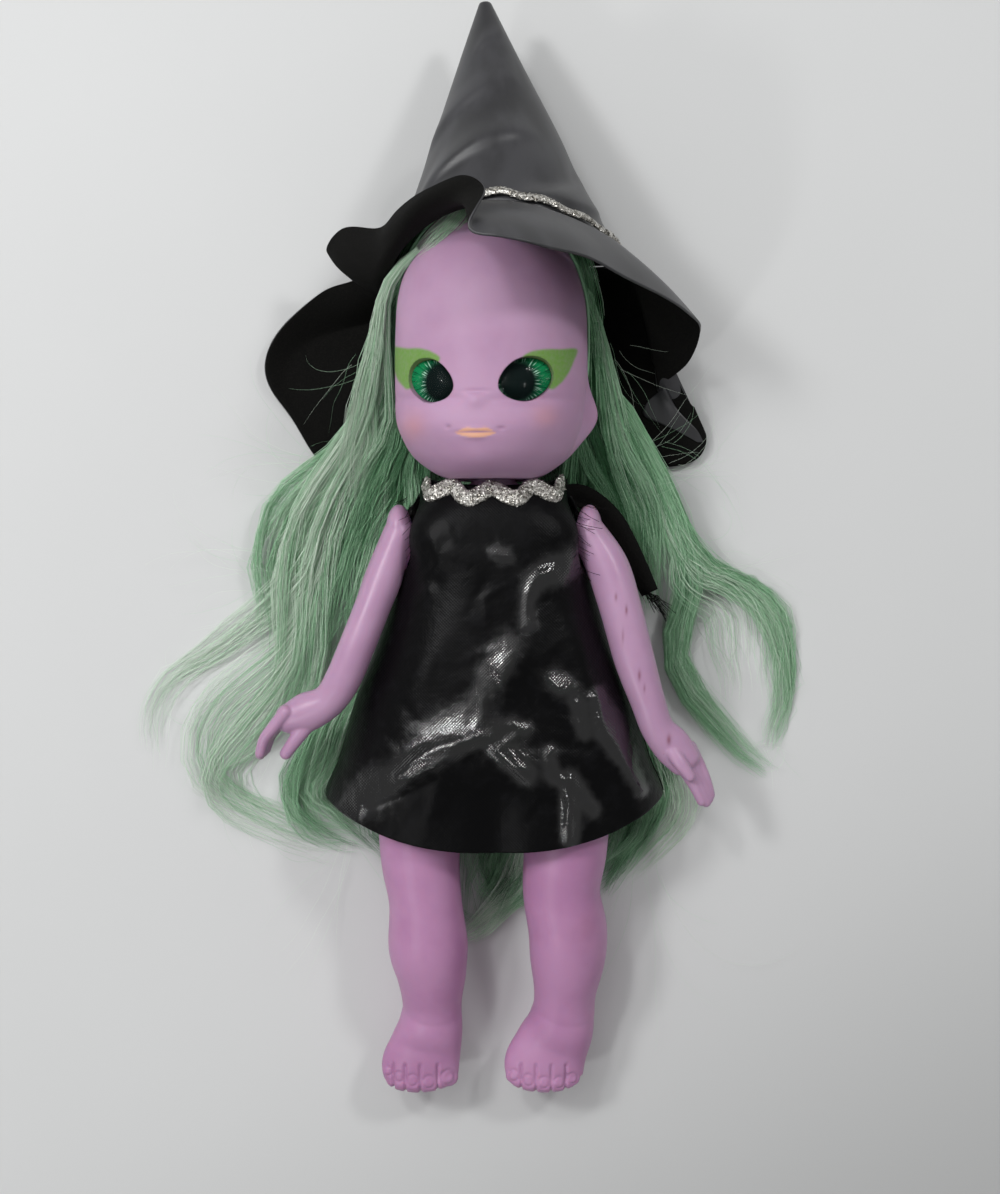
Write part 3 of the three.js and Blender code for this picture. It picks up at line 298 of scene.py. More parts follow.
def apply_modifiers(obj: Object) -> None:
    """Turns an object's evaluated mesh into its own mesh."""
    bpy.context.view_layer.update()
    graph = bpy.context.evaluated_depsgraph_get()
    mesh = bpy.data.meshes.new_from_object(obj.evaluated_get(graph))
    old = obj.data
    obj.modifiers.clear()
    obj.data = mesh
    mesh.name = obj.name
    bpy.data.meshes.remove(old)


def read_vectors(obj: Object, key: str) -> Array:
    """One stored vector for each point of an object."""
    flat = np.empty(3 * len(obj.data.vertices))
    obj.data.vertices.foreach_get(key, flat)
    return flat.reshape(-1, 3)


def points_of(obj: Object) -> Array:
    """An object's points in the doll's own millimetres."""
    return (read_vectors(obj, "co") - SHIFT) / MM


def normals_of(obj: Object) -> Array:
    """An object's point normals."""
    return read_vectors(obj, "normal")


def set_points(obj: Object, points: Array) -> None:
    """Moves an object's points, given in the doll's own millimetres."""
    obj.data.vertices.foreach_set("co", to_metres(points).ravel())
    obj.data.update()


def set_attribute(obj: Object, name: str, values: Array) -> None:
    """Stores one number for each point of an object, in place of any that it has by that name."""
    attribute = obj.data.attributes.get(name) or obj.data.attributes.new(name, "FLOAT", "POINT")
    attribute.data.foreach_set("value", np.asarray(values, np.float32))


def melt(obj: Object, voxel: float, rounds: int) -> None:
    """Joins an object's overlapping shells into one smooth skin.

    Args:
        obj: the object.
        voxel: size of the grid that joins them, in millimetres.
        rounds: how often the skin is eased.
    """
    remesh = obj.modifiers.new("Skin", "REMESH")
    remesh.mode = "VOXEL"
    remesh.voxel_size = voxel * MM
    remesh.use_smooth_shade = True
    ease = obj.modifiers.new("Ease", "SMOOTH")
    ease.factor = 0.5
    ease.iterations = rounds
    apply_modifiers(obj)
    obj.data.shade_smooth()


def thicken(obj: Object, thickness: float, under: bool = False) -> None:
    """Gives a sheet its thickness, inwards, with a second material underneath if asked.

    Args:
        obj: the sheet.
        thickness: its thickness in millimetres.
        under: whether its second material goes underneath.
    """
    solidify = obj.modifiers.new("Thickness", "SOLIDIFY")
    solidify.thickness = thickness * MM
    solidify.offset = -1
    if under:
        solidify.material_offset = 1
        solidify.material_offset_rim = 0
    apply_modifiers(obj)


def stand_for(obj: Object, nodes: Sequence[str]) -> None:
    """Lets a piece stand for its nodes, if it has any, by hiding them."""
    if nodes:
        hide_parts(*nodes)
    LOG.info("%s has %d faces and stands for %s", obj.name, len(obj.data.polygons), nodes)


def dress_piece(obj: Object, body: str, slot: str, *nodes: str) -> None:
    """Lets a piece ride on a body and stand for its nodes."""
    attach(obj, body)
    stand_for(obj, nodes)


def blend_piece(obj: Object, bodies: tuple[str, str], ends: Rows, slot: str, *nodes: str) -> None:
    """Lets a soft piece bend between two bodies and stand for its nodes.

    Args:
        obj: the piece.
        bodies: the body that it follows at its start and the one at its end.
        ends: the places where the bend starts and ends.
        slot: not used.
        nodes: the nodes that it stands for.
    """
    start, end = (to_metres(np.asarray(p, float)) for p in ends)
    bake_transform(obj, *bodies, start=tuple(start), end=tuple(end))
    stand_for(obj, nodes)


def keep_node(name: str, material: Material) -> None:
    """Gives a node of the frame a better finish."""
    obj = bpy.data.objects[name]
    obj.data.materials.clear()
    obj.data.materials.append(material)
    LOG.info("%s keeps its own shape", name)


class Nodes:
    """A node tree, with short calls for adding and joining its nodes."""

    def __init__(self, tree: Tree) -> None:
        """Takes the tree to work on."""
        self.tree = tree

    def add(
        self, kind: str, settings: dict[str, Any] | None = None, feeds: dict[int, Any] | None = None,
        **inputs: Any,
    ) -> Node:
        """A new node of the tree.

        Args:
            kind: the node's type.
            settings: its own settings.
            feeds: values or sockets for its inputs by number.
            inputs: values or sockets for its inputs by name, with _ for a space.

        Returns:
            The node.
        """
        node = self.tree.nodes.new(kind)
        for key, value in (settings or {}).items():
            setattr(node, key, value)
        for number, value in (feeds or {}).items():
            self.feed(node, number, value)
        for name, value in inputs.items():
            self.feed(node, name.replace("_", " "), value)
        return node

    def feed(self, node: Node, name: str | int, value: Any) -> None:
        """Sets or joins one input of a node."""
        socket = node.inputs[name]
        if isinstance(value, Socket):
            self.tree.links.new(value, socket)
        elif isinstance(value, tuple) and len(value) == 3 and socket.type == "RGBA":
            socket.default_value = (*value, 1)
        else:
            socket.default_value = value

    def math(self, operation: str, first: Any, second: Any = 0.0) -> Socket:
        """One step of arithmetic."""
        return self.add("ShaderNodeMath", {"operation": operation}, {0: first, 1: second}).outputs[0]

    def times(self, first: Any, second: Any) -> Socket:
        """A product."""
        return self.math("MULTIPLY", first, second)

    def plus(self, first: Any, second: Any) -> Socket:
        """A sum."""
        return self.math("ADD", first, second)


class Recipe(Nodes):
    """A material's nodes, with a principled surface at their end."""

    def __init__(self, name: str) -> None:
        """Starts a material."""
        self.material = bpy.data.materials.new(name)
        self.material.use_nodes = True
        super().__init__(self.material.node_tree)
        self.shader = self.tree.nodes["Principled BSDF"]

    def surface(self, **inputs: Any) -> None:
        """Sets or joins inputs of the principled surface."""
        for key, value in inputs.items():
            self.feed(self.shader, key.replace("_", " "), value)

    def place(self, scale: Sequence[float] = (1, 1, 1), turn: float = 0) -> Socket:
        """Object coordinates in millimetres, stretched and turned about Z."""
        coords = self.add("ShaderNodeTexCoord")
        stretch = tuple(s / MM for s in scale)
        mapping = self.add("ShaderNodeMapping", Vector=coords.outputs["Object"], Rotation=(0, 0, turn),
                           Scale=stretch)
        return mapping.outputs["Vector"]

    def noise(self, at: Socket, scale: float, detail: float = 3, rough: float = 0.5) -> Socket:
        """A cloud of values from 0 to 1."""
        node = self.add("ShaderNodeTexNoise", Vector=at, Scale=scale, Detail=detail, Roughness=rough)
        return node.outputs["Fac"]

    def ramp(self, value: Socket, low: float, high: float) -> Socket:
        """A clamped rise from 0 at low to 1 at high."""
        settings = {"interpolation_type": "SMOOTHSTEP"}
        return self.add("ShaderNodeMapRange", settings, Value=value, From_Min=low,
                        From_Max=high).outputs["Result"]

    def mix(self, factor: Any, first: Any, second: Any) -> Socket:
        """A colour between two colours."""
        return self.add("ShaderNodeMix", {"data_type": "RGBA"}, {0: factor, 6: first, 7: second}).outputs[2]

    def attribute(self, name: str) -> Socket:
        """A number stored on the mesh."""
        return self.add("ShaderNodeAttribute", {"attribute_name": name}).outputs["Fac"]

    def bump(self, height: Socket, depth: float, strength: float = 1.0) -> None:
        """Raises the surface by a height of so many millimetres."""
        node = self.add("ShaderNodeBump", Height=height, Strength=strength, Distance=depth * MM)
        self.surface(Normal=node.outputs["Normal"])


@dataclass(frozen=True)
class Finish:
    """A finish, which lays its looks on a new material of its name."""

    name: str

    def paint(self, recipe: Recipe) -> None:
        """Lays the finish on a recipe."""
        raise NotImplementedError

    def build(self) -> Material:
        """The finished material."""
        recipe = Recipe(self.name)
        self.paint(recipe)
        return recipe.material


@dataclass(frozen=True)
class SkinVinyl(Finish):
    """Satin lilac vinyl with a soft glow, faint clouding and rubbed-in specks."""

    base: Color
    shade: Color
    speck: Color = srgb(96, 60, 84)
    scuff: Color = srgb(128, 74, 92)
    roughness: float = 0.34

    def paint(self, recipe: Recipe) -> None:
        """Lays the vinyl on a recipe."""
        at = recipe.place()
        cloud = recipe.ramp(recipe.noise(at, 0.07, 3), 0.35, 0.7)
        color = recipe.mix(cloud, self.base, self.shade)
        specks = recipe.ramp(recipe.noise(at, 0.9, 2, 0.7), 0.745, 0.8)
        color = recipe.mix(recipe.times(specks, 0.35), color, self.speck)
        color = recipe.mix(recipe.attribute("mark"), color, self.scuff)
        recipe.surface(Base_Color=color, Roughness=self.roughness, Subsurface_Weight=0.12,
                       Subsurface_Scale=0.002)
        recipe.surface(Specular_IOR_Level=0.38)
        recipe.bump(recipe.noise(at, 1.6, 3), 0.05, 0.25)


@dataclass(frozen=True)
class FacePrint(SkinVinyl):
    """The head's vinyl with its printed lids, lips and cheeks, and painted shade in the mouth's creases and
    round the eye openings, from values stored on the mesh.
    """

    lid: Color = srgb(100, 150, 50)
    lip: Color = srgb(228, 172, 132)
    blush: Color = srgb(206, 140, 132)
    # painted shade: near black laid on the rims and walls of the eye openings
    liner: Color = srgb(22, 26, 24)
    # painted shade: darker skin laid in the mouth's corners and along the line between the lips
    fold: Color = srgb(112, 66, 100)

    def paint(self, recipe: Recipe) -> None:
        """Lays the prints on the vinyl."""
        super().paint(recipe)
        color = recipe.shader.inputs["Base Color"].links[0].from_socket
        mottle = recipe.ramp(recipe.noise(recipe.place(), 1.3, 2), 0.2, 0.75)
        # the last two are painted shade in the mouth's creases and round the eye openings; the rest is print
        for name, ink, weight in (
            ("blush", self.blush, 0.55), ("lid", self.lid, 0.95), ("lip", self.lip, 0.85),
            ("fold", self.fold, 0.7), ("liner", self.liner, 0.85),
        ):
            amount = recipe.times(recipe.attribute(name), weight)
            if name == "lid":
                amount = recipe.times(amount, recipe.plus(recipe.times(mottle, 0.14), 0.86))
            color = recipe.mix(amount, color, ink)
        recipe.surface(Base_Color=color)


@dataclass(frozen=True)
class PatentCloth(Finish):
    """Black film on a woven cloth: glossy where a value on the mesh says so, and worn dull elsewhere."""

    base: Color = srgb(7, 7, 8)
    worn: Color = srgb(13, 13, 15)
    weave: float = 0.72
    polish: Pair = (0.34, 0.12)  # roughness of the dull and of the glossy film
    shine: Pair = (0.1, 0.95)

    def paint(self, recipe: Recipe) -> None:
        """Lays the film and weave on a recipe."""
        at = recipe.place()
        split = recipe.add("ShaderNodeSeparateXYZ", Vector=at)
        pace = math.tau / self.weave
        warp, weft = (recipe.math("SINE", recipe.times(split.outputs[k], pace)) for k in "XY")
        weave = recipe.times(warp, weft)
        creases = recipe.noise(at, 0.24, 4, 0.55)
        patchy = recipe.plus(recipe.attribute("gloss"), recipe.times(recipe.noise(at, 0.4, 2, 0.5), 0.5))
        gloss = recipe.ramp(patchy, 0.3, 0.95)
        crackle = recipe.noise(at, 0.75, 2, 0.5)
        recipe.surface(Base_Color=recipe.mix(recipe.ramp(creases, 0.5, 0.72), self.base, self.worn))
        for socket, (dull, bright) in (("Roughness", self.polish), ("Specular_IOR_Level", self.shine)):
            recipe.surface(**{socket: recipe.plus(recipe.times(gloss, bright - dull), dull)})
        height = recipe.plus(recipe.times(weave, 0.12), recipe.times(creases, 1.2))
        height = recipe.plus(height, recipe.times(crackle, 0.7))
        recipe.bump(height, 0.3, 0.5)


@dataclass(frozen=True)
class HatVinyl(Finish):
    """Dark grey satin vinyl with long soft lighter streaks."""

    base: Color = srgb(46, 46, 48)
    rubbed: Color = srgb(60, 60, 63)
    roughness: float = 0.4

    def paint(self, recipe: Recipe) -> None:
        """Lays the streaked vinyl on a recipe."""
        streak = recipe.noise(recipe.place((1.0, 0.1, 1.0), math.radians(4)), 0.16, 3, 0.5)
        grain = recipe.noise(recipe.place(), 3.2, 3, 0.6)
        color = recipe.mix(recipe.ramp(streak, 0.35, 0.7), self.base, self.rubbed)
        recipe.surface(Base_Color=color)
        recipe.surface(Roughness=recipe.plus(recipe.times(streak, 0.16), self.roughness - 0.08))
        recipe.bump(recipe.plus(recipe.times(grain, 0.3), streak), 0.1, 0.3)


@dataclass(frozen=True)
class Lining(Finish):
    """Matte black-brown woven backing."""

    base: Color = srgb(9, 9, 8)
    fuzz: Color = srgb(20, 19, 17)

    def paint(self, recipe: Recipe) -> None:
        """Lays the backing on a recipe."""
        at = recipe.place()
        fibres = recipe.noise(at, 2.6, 4, 0.7)
        recipe.surface(Base_Color=recipe.mix(recipe.ramp(fibres, 0.4, 0.75), self.base, self.fuzz))
        recipe.surface(Roughness=0.9, Specular_IOR_Level=0.15)
        recipe.bump(fibres, 0.15, 0.6)


@dataclass(frozen=True)
class GlitterBraid(Finish):
    """Silver braid crusted with glitter."""

    base: Color = srgb(226, 224, 218)
    dark: Color = srgb(120, 116, 108)
    flake: float = 0.55

    def paint(self, recipe: Recipe) -> None:
        """Lays the glitter on a recipe."""
        cells = recipe.add("ShaderNodeTexVoronoi", Vector=recipe.place(), Scale=1 / self.flake)
        tone = recipe.add("ShaderNodeSeparateColor", Color=cells.outputs["Color"]).outputs["Red"]
        recipe.surface(Base_Color=recipe.mix(tone, self.dark, self.base), Metallic=0.75)
        recipe.surface(Roughness=recipe.plus(recipe.times(tone, 0.25), 0.18))
        recipe.bump(cells.outputs["Distance"], 0.3, 0.9)


@dataclass(frozen=True)
class HairFibre(Finish):
    """Mint synthetic fibre, from deep green to almost white by a tone stored on each strand, which paints
    light and shade on the locks.
    """

    deep: Color = srgb(58, 118, 72)
    mint: Color = srgb(160, 212, 168)
    pale: Color = srgb(228, 243, 226)
    roughness: float = 0.3

    def paint(self, recipe: Recipe) -> None:
        """Lays the fibre's tones on a recipe."""
        tone = recipe.attribute("tone")
        lower = recipe.mix(recipe.ramp(tone, 0.0, 0.5), self.deep, self.mint)
        recipe.surface(Base_Color=recipe.mix(recipe.ramp(tone, 0.5, 1.0), lower, self.pale))
        recipe.surface(Roughness=self.roughness, Specular_IOR_Level=0.75)


@dataclass(frozen=True)
class IrisPrint(Finish):
    """A green iris with silver rays round a large dark pupil, drawn on the eye's own UV map."""

    green: Color = srgb(20, 142, 86)
    deep: Color = srgb(4, 70, 46)
    pupil: Color = srgb(4, 17, 16)
    ray: Color = srgb(190, 240, 214)
    pupil_radius: float = 0.34
    rays: float = 52.0

    def paint(self, recipe: Recipe) -> None:
        """Draws the eye; its UV map is centred on the pupil, one unit across the eye."""
        uv = recipe.add("ShaderNodeUVMap").outputs["UV"]
        split = recipe.add("ShaderNodeSeparateXYZ", Vector=uv)
        x, y = split.outputs["X"], split.outputs["Y"]
        angle = recipe.math("ARCTAN2", y, x)
        radius = recipe.add("ShaderNodeVectorMath", {"operation": "LENGTH"}, Vector=uv).outputs["Value"]
        turns, out = recipe.times(angle, self.rays / 6.28), recipe.times(radius, 1.4)
        spokes = recipe.add("ShaderNodeCombineXYZ", X=turns, Y=out)
        spoke = recipe.noise(spokes.outputs["Vector"], 1.6, 2, 0.6)
        edge = recipe.plus(self.pupil_radius - 0.05, recipe.times(spoke, 0.1))
        outside = recipe.math("SUBTRACT", radius, edge)
        iris = recipe.mix(recipe.ramp(outside, 0.0, 0.16), self.deep, self.green)
        iris = recipe.mix(recipe.ramp(spoke, 0.5, 0.3), iris, self.deep)
        streak = recipe.times(recipe.ramp(spoke, 0.54, 0.62), recipe.ramp(outside, 0.16, 0.06))
        iris = recipe.mix(streak, iris, self.ray)
        iris = recipe.mix(recipe.ramp(outside, 0.05, -0.06), iris, self.pupil)
        recipe.surface(Base_Color=iris, Roughness=0.6, Specular_IOR_Level=0.05)


@dataclass(frozen=True)
class ClearDome(Finish):
    """Clear plastic: it lets the iris through and keeps only the gloss of its surface."""

    tint: Color = (0.97, 1.0, 0.98)
    gloss: float = 0.004

    def paint(self, recipe: Recipe) -> None:
        """Lays the gloss on a recipe."""
        recipe.surface(Base_Color=self.tint, Metallic=1.0, Roughness=0.06, Alpha=self.gloss)


@dataclass(frozen=True)
class PlainFinish(Finish):
    """A plain surface with a little clouding in its colour and polish."""

    base: Color
    roughness: float
    metallic: float = 0.0

    def paint(self, recipe: Recipe) -> None:
        """Lays the plain surface on a recipe."""
        cloud = recipe.noise(recipe.place(), 0.8, 3)
        darker = tuple(0.8 * c for c in self.base)
        recipe.surface(Base_Color=recipe.mix(cloud, self.base, darker), Metallic=self.metallic)
        recipe.surface(Roughness=recipe.plus(recipe.times(cloud, 0.1), self.roughness - 0.05))


class NodeTree(Nodes):
    """A geometry node tree with named inputs."""

    def __init__(self, name: str, **inputs: str) -> None:
        """Starts a tree that takes a mesh and inputs of the given kinds."""
        super().__init__(bpy.data.node_groups.new(name, "GeometryNodeTree"))
        face = self.tree.interface
        face.new_socket("Geometry", in_out="INPUT", socket_type="NodeSocketGeometry")
        for label, kind in inputs.items():
            face.new_socket(label, in_out="INPUT", socket_type=f"NodeSocket{kind}")
        face.new_socket("Geometry", in_out="OUTPUT", socket_type="NodeSocketGeometry")
        self.start = self.tree.nodes.new("NodeGroupInput")
        self.end = self.tree.nodes.new("NodeGroupOutput")

    def given(self, name: str) -> Socket:
        """One of the tree's inputs."""
        return self.start.outputs[name]

    def vector(self, operation: str, first: Any, second: Any = (0, 0, 0)) -> Socket:
        """One step of vector arithmetic."""
        return self.add("ShaderNodeVectorMath", {"operation": operation}, {0: first, 1: second}).outputs[0]

    def scaled(self, vector: Any, factor: Any) -> Socket:
        """A vector times a number."""
        return self.add("ShaderNodeVectorMath", {"operation": "SCALE"}, {0: vector}, Scale=factor).outputs[0]

    def random(self, low: Any, high: Any, seed: Any, vector: bool = False) -> Socket:
        """A random value for each element."""
        first = 0 if vector else 2
        settings = {"data_type": "FLOAT_VECTOR" if vector else "FLOAT"}
        node = self.add("FunctionNodeRandomValue", settings, {first: low, first + 1: high}, Seed=seed)
        return node.outputs[0 if vector else 1]

    def named(self, name: str, vector: bool = False) -> Socket:
        """A value stored on the geometry."""
        settings = {"data_type": "FLOAT_VECTOR" if vector else "FLOAT"}
        return self.add("GeometryNodeInputNamedAttribute", settings, Name=name).outputs["Attribute"]

    def store(self, geometry: Any, name: str, value: Any, domain: str, vector: bool = False) -> Socket:
        """The geometry with a value stored on it."""
        settings = {"data_type": "FLOAT_VECTOR" if vector else "FLOAT", "domain": domain}
        node = self.add("GeometryNodeStoreNamedAttribute", settings, Geometry=geometry, Name=name,
                        Value=value)
        return node.outputs[0]

    def ring(self) -> Socket:
        """A round of three points, for the section of a strand."""
        return self.add("GeometryNodeCurvePrimitiveCircle", {"mode": "RADIUS"}, Resolution=3,
                        Radius=1.0).outputs[0]

    def scatter(self, points: Any, instance: Any, turn: Any, size: Any) -> Socket:
        """Turned and scaled copies of a mesh on points."""
        node = self.add("GeometryNodeInstanceOnPoints", Points=points, Instance=instance, Rotation=turn,
                        Scale=size)
        return node.outputs[0]

    def finish(self, geometry: Any) -> Tree:
        """Ends the tree with real meshes and the given material."""
        real = self.add("GeometryNodeRealizeInstances", Geometry=geometry).outputs[0]
        painted = self.add("GeometryNodeSetMaterial", Geometry=real, Material=self.given("Material"))
        self.tree.links.new(painted.outputs[0], self.end.inputs[0])
        return self.tree


def grow(obj: Object, tree: Tree, **values: Any) -> Object:
    """Runs a node tree on an object and keeps its result as a plain mesh.

    Args:
        obj: the object that carries the guides or the surface.
        tree: the tree to run.
        values: its inputs by name, with _ for a space.

    Returns:
        The same object with its new mesh.
    """
    modifier = obj.modifiers.new("Grow", "NODES")
    modifier.node_group = tree
    sockets = {s.name: s.identifier for s in tree.interface.items_tree if s.in_out == "INPUT"}
    for key, value in values.items():
        modifier[sockets[key.replace("_", " ")]] = value
    apply_modifiers(obj)
    return obj


def strand_tree() -> Tree:
    """Strands that follow guide lines, spread over each guide's width, waved and tapered."""
    t = NodeTree(
        "Strands", Strands="Int", Points="Int", Wave="Float", Frizz="Float", Thickness="Float",
        Shortest="Float", Lift="Float", Floor="Float", Seed="Int", Material="Material",
    )
    seed = t.given("Seed")
    guides = t.add("GeometryNodeMeshToCurve", Mesh=t.given("Geometry")).outputs[0]
    guides = t.add("GeometryNodeResampleCurve", {"mode": "COUNT"}, Curve=guides,
                   Count=t.given("Points")).outputs[0]
    copies = t.add("GeometryNodeDuplicateElements", {"domain": "SPLINE"}, Geometry=guides,
                   Amount=t.given("Strands"))
    lie = t.random((-1, -1, -1), (1, 1, 1), seed, vector=True)
    curves = t.store(copies.outputs["Geometry"], "lie", lie, "CURVE", vector=True)
    shade = t.plus(t.named("tone"), t.random(-0.3, 0.3, t.plus(seed, 1)))
    curves = t.store(curves, "tone", shade, "CURVE")
    spot = t.add("GeometryNodeInputPosition").outputs[0]
    along = t.add("GeometryNodeInputTangent").outputs[0]
    across = t.vector("NORMALIZE", t.vector("CROSS_PRODUCT", along, (0, 0, 1)))
    place = t.add("ShaderNodeSeparateXYZ", Vector=t.named("lie", vector=True))
    width = t.named("width")
    step = t.scaled(across, t.times(place.outputs["X"], width))
    rise = t.times(t.times(place.outputs["Z"], width), t.given("Lift"))
    step = t.vector("ADD", step, t.add("ShaderNodeCombineXYZ", Z=rise).outputs[0])
    waves = []
    for apart, scale in ((0.006, 48.0), (0.05, 190.0)):
        drift = t.vector("ADD", spot, t.scaled(t.named("lie", vector=True), apart))
        noise = t.add("ShaderNodeTexNoise", Vector=drift, Scale=scale, Detail=1.0)
        waves.append(t.vector("SUBTRACT", noise.outputs["Color"], (0.5, 0.5, 0.5)))
    part = t.add("GeometryNodeSplineParameter").outputs["Factor"]
    loose = t.math("POWER", t.math("ABSOLUTE", place.outputs["Y"]), 7.0)
    swing = t.times(t.given("Wave"), t.plus(t.times(part, 0.8), 0.2))
    swing = t.times(swing, t.plus(t.times(loose, 3.0), 0.7))
    goal = t.vector("ADD", t.vector("ADD", spot, step), t.scaled(waves[0], swing))
    goal = t.vector("ADD", goal, t.scaled(waves[1], t.times(t.given("Frizz"), t.plus(loose, 0.5))))
    split = t.add("ShaderNodeSeparateXYZ", Vector=goal)
    x, y, z = split.outputs
    height = t.math("MAXIMUM", z, t.given("Floor"))
    goal = t.add("ShaderNodeCombineXYZ", X=x, Y=y, Z=height).outputs[0]
    curves = t.add("GeometryNodeSetPosition", Geometry=curves, Position=goal).outputs[0]
    stop = t.random(t.given("Shortest"), 1.0, t.plus(seed, 2))
    curves = t.add("GeometryNodeTrimCurve", {"mode": "FACTOR"}, Curve=curves, End=stop).outputs[0]
    taper = t.math("SUBTRACT", 1.0, t.times(t.math("POWER", part, 3.0), 0.7))
    ring = t.ring()
    scale = t.times(t.given("Thickness"), taper)
    mesh = t.add("GeometryNodeCurveToMesh", Curve=curves, Profile_Curve=ring, Scale=scale, Fill_Caps=True)
    smooth = t.add("GeometryNodeSetShadeSmooth", feeds={0: mesh.outputs[0]})
    return t.finish(smooth.outputs[0])


def fray_tree() -> Tree:
    """Loose thread ends that stand along a line, each leaning about the direction stored there."""
    t = NodeTree(
        "Frays", Threads="Int", Length="Float", Thickness="Float", Stray="Float", Seed="Int",
        Material="Material",
    )
    seed = t.given("Seed")
    line = t.add("GeometryNodeMeshToCurve", Mesh=t.given("Geometry")).outputs[0]
    points = t.add("GeometryNodeResampleCurve", {"mode": "COUNT"}, Curve=line,
                   Count=t.given("Threads")).outputs[0]
    thread = t.add(
        "GeometryNodeCurvePrimitiveBezierSegment", Resolution=5, Start=(0, 0, 0), Start_Handle=(0, 0, 0.4),
        End_Handle=(0.12, 0.04, 0.7), End=(0.2, 0.1, 1),
    ).outputs[0]
    ring = t.ring()
    slim = t.math("DIVIDE", t.given("Thickness"), t.given("Length"))
    mesh = t.add("GeometryNodeCurveToMesh", Curve=thread, Profile_Curve=ring, Scale=slim).outputs[0]
    stray = t.scaled(t.random((-1, -1, -1), (1, 1, 1), seed, vector=True), t.given("Stray"))
    lean = t.vector("ADD", t.named("lean", vector=True), stray)
    turn = t.add("FunctionNodeAlignRotationToVector", {"axis": "Z"}, Vector=lean).outputs[0]
    size = t.times(t.given("Length"), t.random(0.25, 1.0, t.plus(seed, 1)))
    return t.finish(t.scatter(points, mesh, turn, size))


def flake_tree() -> Tree:
    """Small flat flakes scattered over a surface, on top of that surface."""
    t = NodeTree("Flakes", Density="Float", Size="Float", Seed="Int", Material="Material")
    base, seed = t.given("Geometry"), t.given("Seed")
    spread = t.add("GeometryNodeDistributePointsOnFaces", Mesh=base, Density=t.given("Density"), Seed=seed)
    flake = t.add("GeometryNodeMeshCircle", {"fill_type": "NGON"}, Vertices=6, Radius=1.0).outputs[0]
    tilt = t.random((-0.7, -0.7, -3), (0.7, 0.7, 3), seed, vector=True)
    feeds = {0: spread.outputs["Rotation"], 1: tilt}
    turn = t.add("FunctionNodeRotateRotation", {"rotation_space": "LOCAL"}, feeds).outputs[0]
    size = t.times(t.given("Size"), t.random(0.5, 1.0, t.plus(seed, 1)))
    flakes = t.scatter(spread.outputs["Points"], flake, turn, size)
    both = t.add("GeometryNodeJoinGeometry")
    for geometry in (flakes, base):
        t.tree.links.new(geometry, both.inputs[0])
    return t.finish(both.outputs[0])


def guide_object(name: str, lines: list[Array], **values: list[Array]) -> Object:
    """A mesh of open lines with values stored on their points.

    Args:
        name: the object's name.
        lines: each line's points in millimetres.
        values: for each value's name, one array for each line.

    Returns:
        The object.
    """
    mesh = bpy.data.meshes.new(name)
    edges, start = [], 0
    for line in lines:
        edges += [(start + i, start + i + 1) for i in range(len(line) - 1)]
        start += len(line)
    mesh.from_pydata(to_metres(np.vstack(lines)).tolist(), edges, [])
    obj = link_object(name, mesh)
    for key, arrays in values.items():
        data = np.concatenate(arrays).astype(np.float32)
        kind = "FLOAT_VECTOR" if data.ndim == 2 else "FLOAT"
        attribute = mesh.attributes.new(key, kind, "POINT")
        attribute.data.foreach_set("vector" if data.ndim == 2 else "value", data.ravel())
    return obj


def polygon_mask(points: Array, outline: Rows, soft: float) -> Array:
    """How far points are inside a rounded outline, from 0 outside to 1 inside.

    Args:
        points: flat points.
        outline: the outline's corners.
        soft: width of the soft edge.

    Returns:
        One value for each point.
    """
    curve = smooth_rows(outline, 8 * len(outline), closed=True)
    ends = np.roll(curve, -1, axis=0)
    inside = np.zeros(len(points), bool)
    nearest = np.full(len(points), 1e9)
    for (ax, ay), (bx, by) in zip(curve, ends):
        crosses = (ay > points[:, 1]) != (by > points[:, 1])
        level = np.where(by == ay, 1e-9, by - ay)
        inside ^= crosses & (points[:, 0] < (bx - ax) * (points[:, 1] - ay) / level + ax)
        step = np.array([bx - ax, by - ay])
        t = np.clip(((points - (ax, ay)) @ step) / max(step @ step, 1e-9), 0, 1)
        nearest = np.minimum(nearest, np.linalg.norm(points - (ax, ay) - t[:, None] * step, axis=1))
    return smoothstep(-soft, soft, np.where(inside, nearest, -nearest))


@dataclass(frozen=True)
class Bump:
    """A soft swelling, hollow or mark, over places of a plane."""

    x: float
    y: float
    half_x: float
    half_y: float
    height: float

    def at(self, seen: Array) -> Array:
        """The height at places of the plane."""
        return self.height * bell((seen[..., 0] - self.x) / self.half_x,
                                  (seen[..., 1] - self.y) / self.half_y)


def mark_skin(obj: Object, marks: Sequence[Bump], level: float) -> None:
    """Stores how dark scuffs are on the points above a level.

    Args:
        obj: the piece.
        marks: the scuffs, as seen from the front.
        level: the height above which they show.
    """
    points = points_of(obj)
    amount = sum((mark.at(points[:, :2]) for mark in marks), np.zeros(len(points)))
    set_attribute(obj, "mark", amount * (points[:, 2] > level))


